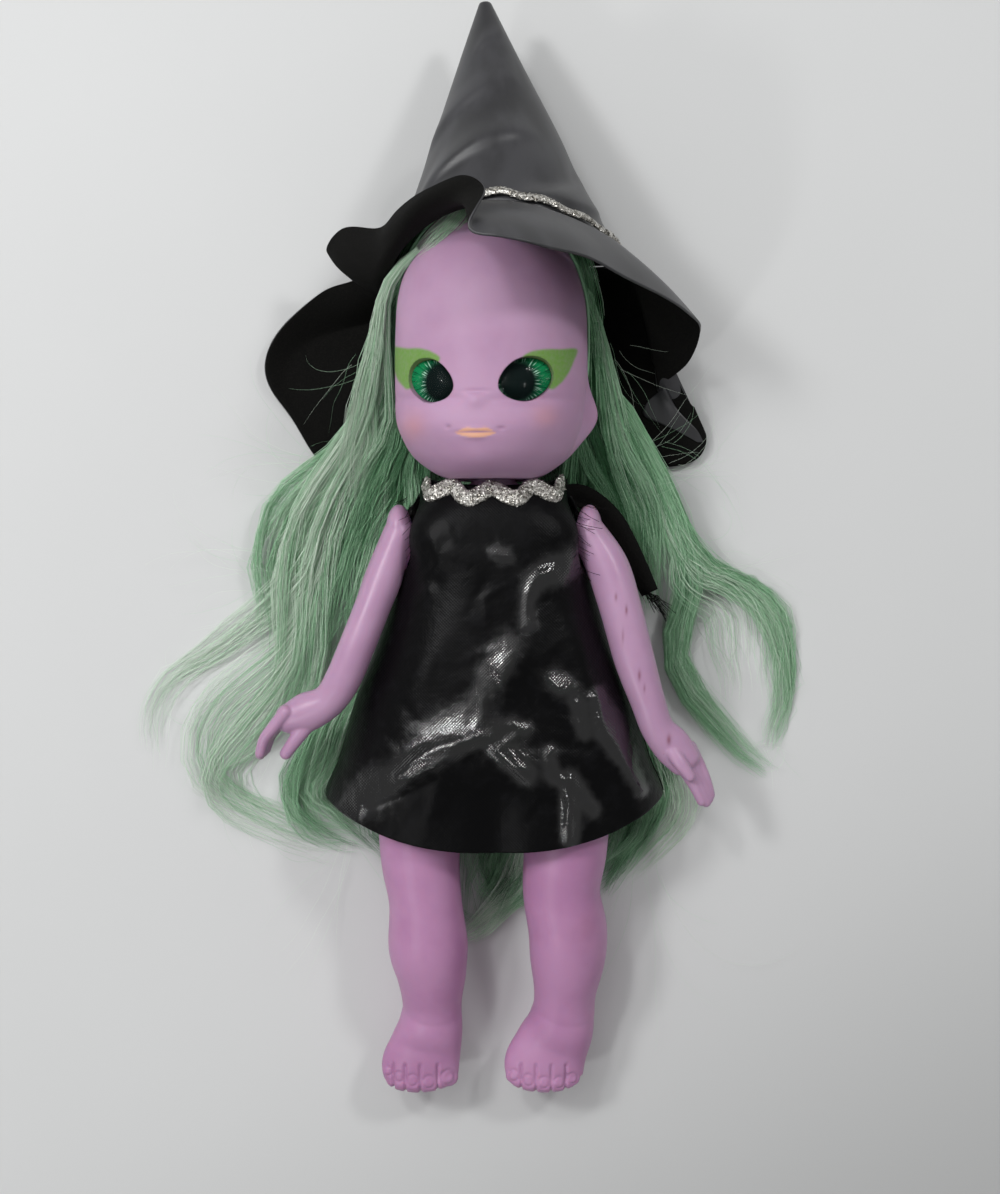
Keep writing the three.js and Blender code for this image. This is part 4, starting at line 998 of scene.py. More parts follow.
@dataclass
class Head:
    """The vinyl head with its inset eyes; its own frame has the chin at y 0 on the neck's axis."""

    height: float = 65.0
    half_width: float = 22.0
    front: float = 25.4
    back: float = 18.0
    columns: int = 260
    rows: int = 200
    eye_spread: float = 10.7
    eye_level: float = 20.7
    eye_sink: float = 0.5
    eye_half: Pair = (6.4, 4.5)
    eye_tilt: float = math.radians(19)
    eye_yaw: float = math.radians(27)
    eye_pocket: float = 2.6
    eye_room: float = 0.25
    lens_bulge: float = 1.9
    iris_depth: float = 1.3
    pupil: dict[Side, Pair] = field(
        default_factory=lambda: {Side.LEFT: (-1.5, -0.4), Side.RIGHT: (-1.8, -0.3)}
    )
    profile: Rows = (
        (0, 0.44, 0.58, 0.46), (0.024, 0.6, 0.73, 0.58), (0.08, 0.81, 0.88, 0.76), (0.155, 0.93, 0.96, 0.86),
        (0.235, 0.985, 0.99, 0.92), (0.34, 1, 1, 0.96), (0.49, 1, 1, 0.99), (0.64, 0.975, 0.97, 1),
        (0.77, 0.87, 0.87, 0.93), (0.875, 0.69, 0.7, 0.75), (0.95, 0.46, 0.48, 0.5),
        (0.988, 0.22, 0.27, 0.22),
    )
    bumps: tuple[Bump, ...] = (
        Bump(-11.5, 12.4, 8.0, 4.6, 1.3), Bump(12.5, 12.4, 8.0, 4.6, 1.3), Bump(-10.5, 17.4, 7.0, 1.2, -0.9),
        Bump(11.5, 17.2, 7.4, 1.2, -0.9), Bump(0.2, 17.2, 2.3, 1.6, 0.85), Bump(0.4, 19.1, 2.4, 0.5, -0.5),
        Bump(0, 10.4, 7.5, 4.2, 0.9), Bump(0.2, 11.1, 2.6, 0.5, 0.35), Bump(0.2, 9.5, 2.4, 0.7, 0.35),
        Bump(0.2, 10.2, 4.2, 0.28, -0.15), Bump(-5.7, 11.5, 0.6, 0.5, -0.2), Bump(5.7, 11.2, 0.8, 0.4, -0.2),
        Bump(0.5, 4.6, 6, 3, 0.8), Bump(0.5, 36, 15, 12, 0.5),
    )
    lids: tuple[Rows, ...] = (
        ((10.3, 26.0), (12.1, 27.7), (15.4, 28.3), (18.7, 28.3), (22.4, 28.3), (21.7, 25.6), (20.4, 22.8),
         (18.6, 20.6), (16.4, 19.6), (13, 23)),
        ((-7.7, 26.0), (-9.4, 27.7), (-12.1, 28.5), (-14.7, 28.5), (-18.4, 28.6), (-18.0, 25.0),
         (-17.3, 22.3), (-16.2, 20.6), (-14.4, 19.6), (-11, 23)),
    )
    lips: tuple[Rows, ...] = (
        ((-3.6, 10.25), (-1.8, 11.15), (0.2, 10.9), (2.4, 11.15), (4.0, 10.25), (0.2, 10.4)),
        ((-4.3, 10.1), (0.2, 10.05), (4.6, 10.1), (2.6, 9.2), (0.2, 8.95), (-2.4, 9.2)),
    )
    blushes: tuple[Bump, ...] = (Bump(-13.6, 11.4, 2.6, 3.2, 0.7), Bump(15.4, 13.6, 2.8, 2.4, 0.6))
    # the corners of the mouth and the line between the lips, where the skin is darkened as painted shade
    mouth: tuple[Bump, ...] = (
        Bump(-5.7, 11.5, 0.6, 0.35, 0.5), Bump(5.6, 11.2, 0.9, 0.3, 0.5), Bump(0.2, 10.25, 4.4, 0.2, 0.25),
    )
    # the ear and the crease before it, forward and up on the side of the head
    ear: Bump = Bump(0.2, 14.0, 2.0, 5.8, 3.0)
    ear_crease: Bump = Bump(4.2, 13.6, 1.2, 6.0, 0.9)

    def to_doll(self, points: Array) -> Array:
        """Points of the head's frame in the doll's frame."""
        c, s = math.cos(HEAD_TURN), math.sin(HEAD_TURN)
        x, y, z = np.moveaxis(points, -1, 0)
        return np.stack([c * x + s * z, y, -s * x + c * z], -1) + NECK

    def seen(self, points: Array) -> Array:
        """Points of the doll's frame in the face's plane, as the camera sees them."""
        scale = (CAMERA_HEIGHT - FACE_LEVEL) / (CAMERA_HEIGHT - points[:, 2])
        x = (points[:, 0] - CAMERA_X) * scale + CAMERA_X - FACE_MIDDLE
        return np.stack([x, points[:, 1] * scale - CHIN_SEEN], -1)

    def surface(self, share: Array, angle: Array, offset: float) -> Array:
        """Points of the head's skin, before its features are raised.

        Args:
            share: shares of the head's height.
            angle: angles from the middle of the face.
            offset: how far the points are moved out.

        Returns:
            The points in the head's frame.
        """
        dense = smooth_rows(self.profile, 400)
        half, front, back = (np.interp(share, dense[:, 0], dense[:, k]) for k in (1, 2, 3))
        front, back = front * self.front, back * self.back
        centre, depth = (front - back) / 2, (front + back) / 2
        x = (half * self.half_width + offset) * np.sin(angle)
        z = centre + (depth + offset) * np.cos(angle)
        return np.stack([x, share * self.height + offset * (2 * share - 1), z], -1)

    def eye_matrix(self, side: Side) -> Matrix:
        """The place and turn of an eye in the doll's frame."""
        angle = math.asin(self.eye_spread / (0.976 * self.half_width))
        face = self.surface(np.array([self.eye_level / self.height]), np.array([angle]), 0)[0]
        local = Matrix.Translation((side.value * self.eye_spread, self.eye_level, face[2] - self.eye_sink))
        local = local @ Matrix.Rotation(side.value * self.eye_yaw, 4, "Y")
        return Matrix.Translation(NECK) @ Matrix.Rotation(HEAD_TURN, 4, "Y") @ local

    def in_eye(self, points: Array, side: Side) -> Array:
        """Points of the doll's frame in an eye's own frame."""
        local = np.column_stack([points, np.ones(len(points))])
        return local @ np.array(self.eye_matrix(side).inverted()).T

    def eye_outline(self, side: Side, grow: float, count: int = 72) -> Array:
        """An eye's rounded outline, a little narrower towards the nose.

        Args:
            side: which eye.
            grow: how far the outline is moved out.
            count: how many points it has.

        Returns:
            Flat points in the eye's frame.
        """
        angle = circle(count)
        inner = np.maximum(0, -np.cos(angle)) ** 2
        x = (self.eye_half[0] + grow) * np.cos(angle)
        y = (self.eye_half[1] + grow) * np.sin(angle) * (1 - 0.2 * inner)
        c, s = math.cos(self.eye_tilt), math.sin(self.eye_tilt)
        points = np.stack([side.value * (c * x - s * y), s * x + c * y], -1)
        return points if side is Side.LEFT else points[::-1]

    def eye_shell(self, side: Side, rings: Sequence[Spot]) -> Shell:
        """A solid through scaled copies of an eye's outline.

        Args:
            side: which eye.
            rings: for each ring its growth, scale and depth.

        Returns:
            The shell in the doll's frame.
        """
        stack = []
        for grow, scale, depth in rings:
            flat = self.eye_outline(side, grow) * scale
            stack.append(np.column_stack([flat, np.full(len(flat), depth)]))
        shell = Shell.loft(np.array(stack))
        matrix = np.array(self.eye_matrix(side))
        return Shell(shell.points @ matrix[:3, :3].T + matrix[:3, 3], shell.faces)

    def build_shell(self, material: Material) -> None:
        """The head itself, shaped, cut for the eyes and printed."""
        share = np.linspace(0, 0.988, self.rows)
        u = np.linspace(-1, 1, self.columns, endpoint=False)
        angle = math.pi * (0.45 * u + 0.55 * u**3)
        rings = self.surface(share[:, None] + 0 * angle, angle + 0 * share[:, None], 0)
        x, y, z = np.moveaxis(rings, -1, 0)
        flank = np.stack([z, y], -1)
        ear = self.ear.at(flank) - self.ear_crease.at(flank)
        bare = np.where(x > 0, 1.0, 0.25)  # the hair presses the other ear flat
        rings[..., 0] += np.sign(x) * bare * ear * smoothstep(10, 18, np.abs(x))
        obj = make_object("head", Shell.loft(self.to_doll(rings)), material)
        points, normals = points_of(obj), normals_of(obj)
        seen = self.seen(points)
        front = smoothstep(-0.1, 0.4, normals[:, 2])
        lift = sum(bump.at(seen) for bump in self.bumps) * front
        set_points(obj, points + normals * lift[:, None])
        for side in Side:
            pocket = [(self.eye_room, 1, -self.eye_pocket), (self.eye_room, 1, 9.0)]
            cutter = make_object("eye_cutter", self.eye_shell(side, pocket))
            cut = obj.modifiers.new("Eye", "BOOLEAN")
            cut.object, cut.operation, cut.solver = cutter, "DIFFERENCE", "EXACT"
            apply_modifiers(obj)
            bpy.data.objects.remove(cutter)
        self.print_face(obj)
        dress_piece(obj, "head", "skin", "head_shell")

    def print_face(self, obj: Object) -> None:
        """Stores the amounts of each print, and of the painted shade in the mouth's creases and round the eye
        openings, on the head's points.
        """
        points = points_of(obj)
        seen = self.seen(points)
        front = (points[:, 2] > NECK[2] + 4).astype(float)
        for name, outlines, soft in (("lid", self.lids, 0.35), ("lip", self.lips, 0.2)):
            inside = np.maximum(*(polygon_mask(seen, outline, soft) for outline in outlines))
            set_attribute(obj, name, front * inside)
        set_attribute(obj, "blush", front * sum(bump.at(seen) for bump in self.blushes))
        # painted shade on the rims and walls of the eye openings
        rim = np.zeros(len(points))
        for side in Side:
            eye = self.in_eye(points, side)
            near = front * (np.abs(eye[:, 2]) < 6)
            rim = np.maximum(rim, near * polygon_mask(eye[:, :2], self.eye_outline(side, 0.3, 24), 0.14))
        set_attribute(obj, "liner", rim)
        # painted shade in the mouth's creases
        set_attribute(obj, "fold", front * np.clip(sum(bump.at(seen) for bump in self.mouth), 0, 1))

    def build_eyes(self, dome: Material, iris: Material, cup: Material) -> None:
        """Each eye's clear dome and printed iris; the cups keep the frame's shape."""
        arc = np.linspace(0.05, math.pi / 2, 12)
        for side in Side:
            bulge = [(0, math.cos(a), self.lens_bulge * math.sin(a) ** 0.9) for a in arc[:-1]]
            lens = self.eye_shell(side, [(0, 1, -1.0), *bulge, (0, 0.04, self.lens_bulge)])
            piece = make_object(f"{side.label}_eye_dome", lens, dome)
            dress_piece(piece, "head", "eye_lens", f"{side.label}_eye_lens")
            back = -self.iris_depth - 0.5
            disc = self.eye_shell(side, [(0, 1, back), (0, 1, -self.iris_depth)])
            piece = make_object(f"{side.label}_eye_print", disc, iris)
            self.map_iris(piece, side)
            dress_piece(piece, "head", "iris", f"{side.label}_eye_iris")
            keep_node(f"{side.label}_eye_cup", cup)

    def map_iris(self, obj: Object, side: Side) -> None:
        """A UV map centred on the pupil, with its x away from the nose."""
        local = self.in_eye(points_of(obj), side)[:, :2]
        flat = (local * (side.value, 1) - self.pupil[side]) / (2 * self.eye_half[0])
        layer = obj.data.uv_layers.new(name="UVMap")
        index = np.empty(len(obj.data.loops), int)
        obj.data.loops.foreach_get("vertex_index", index)
        layer.data.foreach_set("uv", flat[index].astype(np.float32).ravel())


@dataclass
class Torso:
    """The vinyl torso, hidden by the dress but for its neck and shoulders."""

    voxel: float = 0.6
    rounds: int = 8

    def build(self, material: Material) -> None:
        """A smooth skin over the frame's torso."""
        node = bpy.data.objects["torso_shell"]
        obj = link_object("torso", node.data.copy())
        obj.data.materials.clear()
        obj.data.materials.append(material)
        melt(obj, self.voxel, self.rounds)
        dress_piece(obj, "torso", "skin", "torso_shell")


@dataclass
class Arm:
    """One arm with its hand, as rows from the shoulder: out, down, forward, half width, half thickness."""

    side: Side
    line: Rows
    thumb: Rows
    knuckle: Spot  # where the fingers start
    reach: Spot  # from there to their tips
    fan: Spot  # from the first finger to the last
    curl: Spot  # how their middles bow out
    seat: float = 18.8
    shoulder_y: float = 16.0
    shoulder_z: float = 20.5
    shoulder_radius: float = 5.6
    fingers: int = 4
    finger_radius: float = 1.4
    marks: tuple[Bump, ...] = ()  # scuffs, as seen from the front
    voxel: float = 0.28
    rounds: int = 5

    def rows(self, rows: Rows) -> Array:
        """Rows from the shoulder as places in the doll's frame."""
        data = np.asarray(rows, float).copy()
        data[:, 0] = self.side.value * (self.seat + data[:, 0])
        data[:, 1] += self.shoulder_y
        data[:, 2] += self.shoulder_z
        return data

    def finger_shells(self) -> list[Shell]:
        """The fingers, side by side from the end of the palm."""
        knuckle, reach, fan, curl = np.array([self.knuckle, self.reach, self.fan, self.curl])
        shells = []
        for n in range(self.fingers):
            slide = n / (self.fingers - 1) - 0.5
            shorter = 1 - 0.3 * abs(n - 1.2) / self.fingers
            rows = []
            for share, bend in ((-0.5, 0.0), (0.1, 0.3), (0.55, 0.5), (1, 0.0)):
                apart = fan * slide * (1 - 0.35 * max(share, 0))
                spot = knuckle + apart + reach * share * shorter + curl * bend
                halves = (self.finger_radius * (full - 0.2 * share) for full in (1.05, 1.1))
                rows.append((*spot, *halves))
            shells.append(tube(self.rows(rows), 16, 12))
        return shells

    def build(self, material: Material) -> None:
        """The whole arm as one skin, with the frame's plug inside it."""
        shoulder = (self.side.value * (self.seat + 3.4), self.shoulder_y, self.shoulder_z)
        shells = [tube(self.rows(self.line), 40, 60), tube(self.rows(self.thumb), 20, 14),
                  *self.finger_shells()]
        shells.append(Shell.egg(shoulder, (3.0, self.shoulder_radius, self.shoulder_radius), 40))
        obj = make_object(f"{self.side.label}_arm_skin", Shell.joined(shells), material)
        melt(obj, self.voxel, self.rounds)
        mark_skin(obj, self.marks, self.shoulder_z)
        dress_piece(obj, f"{self.side.label}_arm", "skin", f"{self.side.label}_arm")


@dataclass
class Leg:
    """One leg with its foot, whose toes point down along the leg."""

    side: Side
    line: Rows  # from hip to ankle: out, share of the length, height, half width, half thickness
    foot: Rows  # from ankle to ball: out, y, height, half width, half thickness
    toes: Rows  # from the big toe: out, y of the tip, radius
    hip_y: float = -31.0
    hip_z: float = 18.0
    seat: float = 8.3
    length: float = 85.0
    thigh: float = 10.4
    heel: Spot = (6.4, 6.2, 5.6)
    heel_y: float = -103.5
    toe_top: float = 14.6
    groove: float = 0.6
    nail_groove: float = 0.24
    toe_root: float = -109.8
    toe_length: float = 5.0
    marks: tuple[Bump, ...] = ()  # stains, as seen from the front
    voxel: float = 0.31
    rounds: int = 7

    def rows(self, rows: Rows) -> Array:
        """Rows with their first number along X on this side."""
        data = np.asarray(rows, float).copy()
        data[:, 0] *= self.side.value
        return data

    def leg_rows(self) -> Array:
        """The leg's middle line from hip to ankle."""
        data = self.rows(self.line)
        data[:, 1] = self.hip_y - data[:, 1] * self.length
        return data

    def shells(self) -> list[Shell]:
        """The leg, the hip's dome, the foot, its heel and its toes."""
        hip = (self.side.value * (self.seat + self.thigh - 1.2), self.hip_y, self.hip_z)
        dome = (self.thigh - 1.4, self.thigh + 0.6, self.thigh + 0.6)
        foot = self.rows(self.foot)
        heel = (foot[0, 0], self.heel_y, self.heel[2] + 0.1)
        shells = [tube(self.leg_rows(), 48, 90), tube(foot, 48, 30)]
        shells += [Shell.egg(hip, dome, 40), Shell.egg(heel, self.heel, 32)]
        middle = foot[-2, 0]
        for x, tip, radius in self.rows(self.toes):
            root, slim = middle + 0.85 * (x - middle), 0.84 * radius
            z = self.toe_top - 1.3 - radius
            rows = (root, tip + self.toe_length, z - 1, 0.8 * slim, slim), (x, tip + slim, z, slim, radius)
            shells.append(tube(rows, 20, 14))
        return shells

    def build(self, material: Material) -> None:
        """The whole leg as one skin, with grooves between its toes and round their nails."""
        name = f"{self.side.label}_leg"
        obj = make_object(f"{name}_skin", Shell.joined(self.shells()), material)
        melt(obj, self.voxel, self.rounds)
        points = points_of(obj)
        points[:, 2] = np.maximum(points[:, 2], 0.15)
        inner = self.side.value * points[:, 0]
        beside_torso = points[:, 1] > self.hip_y - 0.24 * self.length
        points[:, 0] = np.where(beside_torso, self.side.value * np.maximum(inner, self.seat), points[:, 0])
        set_points(obj, points)
        self.press_toes(obj)
        mark_skin(obj, self.marks, self.toe_top)
        dress_piece(obj, name, "leg_skin", name)

    def press_toes(self, obj: Object) -> None:
        """Presses the grooves between the toes and round their nails."""
        points, normals = points_of(obj), normals_of(obj)
        toes = self.rows(self.toes)
        shown = smoothstep(-0.3, 0.3, normals[:, 2] - 0.4 * normals[:, 1])
        depth = np.zeros(len(points))
        for near, far in zip(toes[:-1], toes[1:]):
            share = near[2] / (near[2] + far[2])
            middle = near[0] + (far[0] - near[0]) * share
            groove = self.groove * bell((points[:, 0] - middle) / 0.34)
            depth -= groove * smoothstep(self.toe_root, self.toe_root - 1.6, points[:, 1])
        for x, tip, radius in toes:
            across = (points[:, 0] - x) / (0.55 * radius)
            along = (points[:, 1] - tip - 1.05 * radius) / (0.62 * radius)
            flat = np.column_stack([across, along])
            ring = bell((np.linalg.norm(flat, axis=1) - 1) / 0.24)
            depth -= self.nail_groove * ring * (points[:, 2] > self.toe_top - radius)
        set_points(obj, points + normals * (depth * shown)[:, None])


@dataclass(frozen=True)
class Fold:
    """A soft ridge in the dress: its middle, its turn from X, its half length and width, its height."""

    x: float
    y: float
    turn: float
    half_length: float
    half_width: float
    height: float
    steep: float = 1.0  # how much narrower its lower side is

    def at(self, x: Array, y: Array) -> Array:
        """The height at places of the front."""
        c, s = math.cos(math.radians(self.turn)), math.sin(math.radians(self.turn))
        along, across = c * (x - self.x) + s * (y - self.y), c * (y - self.y) - s * (x - self.x)
        width = self.half_width * np.where(across < 0, self.steep, 1.0)
        return self.height * bell(along / self.half_length, across / width)


@dataclass(frozen=True)
class Crease:
    """A sharp crease of the dress along a line of places, with its height and half width."""

    line: Rows
    height: float = 0.7
    half_width: float = 1.0

    def away(self, x: Array, y: Array) -> Array:
        """The distance from the line."""
        path = smooth_rows(self.line, 14)
        far = np.full(np.shape(x), np.inf)
        for a, b in zip(path[:-1], path[1:]):
            step = b - a
            share = np.clip(((x - a[0]) * step[0] + (y - a[1]) * step[1]) / (step @ step), 0, 1)
            far = np.minimum(far, np.hypot(x - a[0] - share * step[0], y - a[1] - share * step[1]))
        return far

    def at(self, x: Array, y: Array) -> Array:
        """The height at places of the front."""
        return self.height * bell(self.away(x, y) / self.half_width)


@dataclass
class Dress:
    """The sleeveless dress: a front that drapes over the legs and two back panels under the doll."""

    top_y: float = 25.5
    neck_rise: float = 2.4
    hem_y: float = -58.5
    hem_rise: float = 12.0
    cloth: float = 0.35
    armhole_y: float = 14.4
    armhole_z: float = 20.5
    armhole_radius: float = 9.0
    armhole_squeeze: float = 1.2
    armhole_edge: float = 0.62  # points so near to the armhole's line are moved onto it
    seam_gap: float = 0.15
    front_power: float = 0.84  # how round the front is, how much rounder at the chest, and the back
    chest_power: float = 0.32
    back_power: float = 0.62
    lap_depth: float = 2.0  # how deep the front sinks between the legs
    front_grid: tuple[int, int] = (190, 120)  # rows and columns
    back_grid: tuple[int, int] = (112, 72)
    # from the neckline to the hem: y, half width, top of the front, side seam's height, back's height
    rows: Rows = (
        (25.5, 17.0, 30.9, 15, 6.7), (18, 20.5, 33.5, 14, 5.5), (4, 22.8, 34.5, 11.4, 5.1),
        (-11, 27.8, 34.9, 9.4, 5.1), (-24, 33, 34.5, 8.4, 5.1), (-38, 37, 34.5, 7.8, 5.1),
        (-46.5, 40.5, 32.2, 7.2, 5.1), (-58.5, 42, 31.4, 7, 5.1),
    )
    folds: tuple[Fold, ...] = (
        Fold(3.2, -16.5, 58, 7.5, 4.2, 1.6), Fold(-15, -38.8, 30, 15, 6.0, 2.3, 0.3),
        Fold(6.5, -39.5, -44, 9, 4.5, 1.3, 0.35), Fold(15.6, 5.4, 24, 7.5, 2.8, 1.0),
        Fold(15.4, -21.6, -35, 4.5, 2.8, 0.9), Fold(18, -47, -57, 7, 3.0, 0.9, 0.4),
        Fold(27.5, -33, -63, 15, 3.6, 1.6), Fold(20, -14, -70, 12, 3.0, 1.0),
        Fold(17.2, -50, 86, 8, 1.5, 0.9), Fold(-14, -46, 70, 9, 3.4, 1.0), Fold(-17, -18, 66, 12, 4.0, 0.8),
        Fold(-10, 9, -20, 8, 3.6, 0.7), Fold(32, -48, -40, 6, 2.2, 0.8),
    )
    sharp: tuple[Crease, ...] = (
        Crease(((8, -6), (7.6, -3), (8.1, 1.2), (9.8, 4.6), (13.5, 6.2)), 0.5, 1.1),
        Crease(((-22, -41), (-17.8, -37), (-12.5, -34), (-4.3, -31.6)), 0.6, 1.4),
        Crease(((-1.5, -32), (3, -36), (7.2, -40.4)), 0.5, 1.3),
        Crease(((12.3, -35.1), (13.5, -40.4), (16.4, -43.3), (17.2, -55)), 0.5),
        Crease(((17.6, -41.3), (22.8, -48.6)), 0.45, 1.1),
        Crease(((23.7, -22.6), (24.9, -29.9), (29, -35.4), (34.2, -44.8)), 0.7, 1.3),
        Crease(((4.1, -29), (7.1, -30)), 0.4, 0.8), Crease(((0.4, 10.2), (2.6, 9.2)), 0.3, 0.8),
        Crease(((19, -24), (20.4, -31)), 0.4, 0.8),
    )
    # where the film is still glossy
    polished: tuple[Fold, ...] = (
        Fold(0.8, -15.5, 62, 7.5, 3.4, 1.0), Fold(-10, -31, 30, 9.5, 5.2, 0.9),
        Fold(-28, -45, 45, 8, 4.5, 1.0), Fold(14.6, 6.4, 24, 7.5, 3.4, 1.0),
        Fold(15.2, -19.8, -30, 4, 2.6, 1.0), Fold(4.8, -36.6, -48, 6.5, 3.2, 0.8),
        Fold(27.6, -31, -66, 7, 3.4, 1.0), Fold(2, -29.5, 0, 2, 1.6, 0.7), Fold(18, -50, 86, 7, 2.4, 0.6),
    )
    # the strips of cloth behind the arms: out, y, z and half width
    flaps: dict[Side, Rows] = field(default_factory=lambda: {
        Side.LEFT: (
            (13, 22.5, 15.0, 2.2), (20, 24, 14.2, 2.6), (27, 19, 13.4, 2.8), (32, 11, 12.6, 2.6),
            (37, 1, 11.8, 2.0),
        ),
        Side.RIGHT: ((13, 22.5, 15.0, 2.0), (17, 21, 13.6, 2.0), (20.5, 17.5, 12.6, 1.8),
                     (22.5, 14, 12, 1.2)),
    })
    hips: Rows = ((0, -27.0, 20.0), (0, -46.0, 20.0))  # where the front starts and ends to bend with the legs
    panel_area: float = 0.062 * 0.085  # the rectangle that a panel is cut from, in square metres
    creases: int = 150
    trim_pitch: float = 10.0
    trim_wave: float = 1.2
    trim_half: float = 1.85
    trim_thick: float = 0.55
    trim_lift: float = 0.9
    trim_heart: float = 12.0  # height of the line that the braid faces away from

    def __post_init__(self) -> None:
        """Works out the smooth run of rows and the small creases once."""
        self.table = smooth_rows(self.rows, 240)[::-1]
        rng = np.random.default_rng(SEED + 70)
        self.small_folds = [
            Fold(rng.uniform(-36, 36), rng.uniform(-56, 16), rng.uniform(0, 180), rng.uniform(2, 6),
                 rng.uniform(0.8, 1.6), rng.uniform(-0.3, 0.3))
            for _ in range(self.creases)
        ]

    def point(self, y: Array, angle: Array, inset: float) -> Array:
        """Points of the dress, before its folds are raised.

        Args:
            y: places along the doll.
            angle: angles from the doll's left side seam.
            inset: how far the points are moved in.

        Returns:
            The points in the doll's frame.
        """
        half, top, seam, back = (np.interp(y, self.table[:, 0], self.table[:, k]) for k in (1, 2, 3, 4))
        across, up = np.cos(angle), np.sin(angle)
        front = up >= 0
        power = np.where(front, self.front_power - self.chest_power * bell((y - 15) / 7), self.back_power)
        rise = np.where(front, top - seam, seam - back) - inset - self.seam_gap
        x = np.sign(across) * (half - inset) * np.abs(across) ** power
        z = seam + np.where(front, 1, -1) * (self.seam_gap + rise * np.abs(up) ** power)
        return np.stack([x, y, z], -1)

    def relief(self, points: Array) -> Array:
        """How far the front's folds and dents move its points along Z."""
        x, y = points[..., 0], points[..., 1]
        dip = -self.lap_depth * bell((x - 0.5) / 5.5) * smoothstep(-36, -56, y)
        return dip + sum(fold.at(x, y) for fold in (*self.folds, *self.small_folds, *self.sharp))

    def panel(self, start: float, end: float, front: bool) -> Array:
        """A grid of points on the dress between two angles.

        Args:
            start: the first angle from the doll's left side seam.
            end: the last angle.
            front: whether the grid is on the front, with its folds.

        Returns:
            Rows of points from the neckline to the hem.
        """
        rows, columns = self.front_grid if front else self.back_grid
        angle = np.linspace(start, end, columns)[None, :]
        share = np.linspace(0, 1, rows)[:, None]
        hem = self.hem_y + self.hem_rise * np.cos(angle) ** 2
        top = self.top_y + self.neck_rise * np.cos(angle) ** 2
        y = top + (hem - top) * share
        points = self.point(y, angle + 0 * share, 0)
        if front:
            fade = smoothstep(0.0, 0.25, np.sin(angle)) * smoothstep(0, 0.12, share)
            points[..., 2] += self.relief(points) * fade
        else:
            points[..., 2] -= 0.3 * np.sin(points[..., 1] / 6 + points[..., 0] / 9) ** 2
        return points

    def cut_armhole(self, shell: Shell) -> Shell:
        """The shell with the armholes cut out, their edges on a clean circle."""
        points = shell.points.copy()
        away = np.stack([points[:, 1] - self.armhole_y,
                         (points[:, 2] - self.armhole_z) * self.armhole_squeeze], -1)
        far = np.linalg.norm(away, axis=1)
        side = np.abs(points[:, 0]) > 11
        near = side & (np.abs(far - self.armhole_radius) < self.armhole_edge)
        pull = self.armhole_radius / far[near] - 1
        points[near, 1:] += away[near] * pull[:, None] / (1, self.armhole_squeeze)
        inside = side & (far < self.armhole_radius - self.armhole_edge)
        on_edge = near | inside
        faces = [f for f in shell.faces if not any(inside[i] for i in f) and not all(on_edge[i] for i in f)]
        used = sorted({i for f in faces for i in f})
        order = {old: new for new, old in enumerate(used)}
        return Shell(points[used], [tuple(order[i] for i in f) for f in faces])

    def flap(self, side: Side, rows: Rows) -> Shell:
        """A strip of cloth that lies behind the arm, along rows of out, y, z and half width."""
        data = smooth_rows(rows, 40)
        across = sideways(data)
        share = np.linspace(-1, 1, 12)
        grid = data[:, None, :3] + across[:, None] * data[:, None, 3:4] * share[None, :, None]
        grid[..., 2] += 0.5 * np.sin(2.6 * share + 0.4)[None]
        grid[..., 0] *= side.value
        return Shell.grid(grid if side is Side.LEFT else grid[:, ::-1])

    def skirt_weights(self, points: Array) -> Array:
        """How far each point of the front follows its leg: not at the middle or the side seams."""
        x = np.abs(points[:, 0])
        down = smoothstep(-27, -46, points[:, 1])
        return down * smoothstep(0.5, 8, x) * (1 - smoothstep(31, 41, x))

    def build(self, cloth: Material, lining: Material, wire: Material) -> None:
        """The front halves, which bend with the legs, and the back panels."""
        for side in Side:
            self.build_front(side, cloth, lining)
        for side in Side:
            self.build_back(side, cloth, lining)
        keep_node("neck_hook", wire)
        keep_node("neck_eye", wire)

    def build_front(self, side: Side, cloth: Material, lining: Material) -> None:
        """One half of the front, glossy along its creases and where its film is still polished."""
        start, end = (0.0, math.pi / 2) if side is Side.LEFT else (math.pi / 2, math.pi)
        shell = self.cut_armhole(Shell.grid(self.panel(start, end, True)))
        obj = make_object(f"dress_front_{side.label}", shell, cloth, lining)
        thicken(obj, self.cloth, under=True)
        self.ease_middle(obj)
        seen = points_of(obj)[:, :2].T
        lines = sum(0.85 * bell(crease.away(*seen) / 2.0) for crease in self.sharp)
        set_attribute(obj, "gloss", lines + sum(fold.at(*seen) for fold in self.polished))
        blend_piece(obj, ("torso", f"{side.label}_leg"), self.hips, "dress_vinyl", "dress_front")
        set_attribute(obj, "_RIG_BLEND", self.skirt_weights(points_of(obj)))

    def build_back(self, side: Side, cloth: Material, lining: Material) -> None:
        """One back panel, from its side seam to the opening, with its flap."""
        seam = 0.0 if side is Side.LEFT else -math.pi
        opening = -math.pi / 2 + side.value * 0.011
        shell = self.cut_armhole(Shell.grid(self.panel(seam, opening, False)))
        shell = Shell.joined([shell, self.flap(side, self.flaps[side])])
        obj = make_object(f"dress_back_{side.label}_panel", shell, cloth, lining)
        thicken(obj, self.cloth, under=True)
        set_attribute(obj, "gloss", np.full(len(obj.data.vertices), 0.2))
        dress_piece(obj, "torso", "dress_vinyl", f"dress_back_{side.label}")

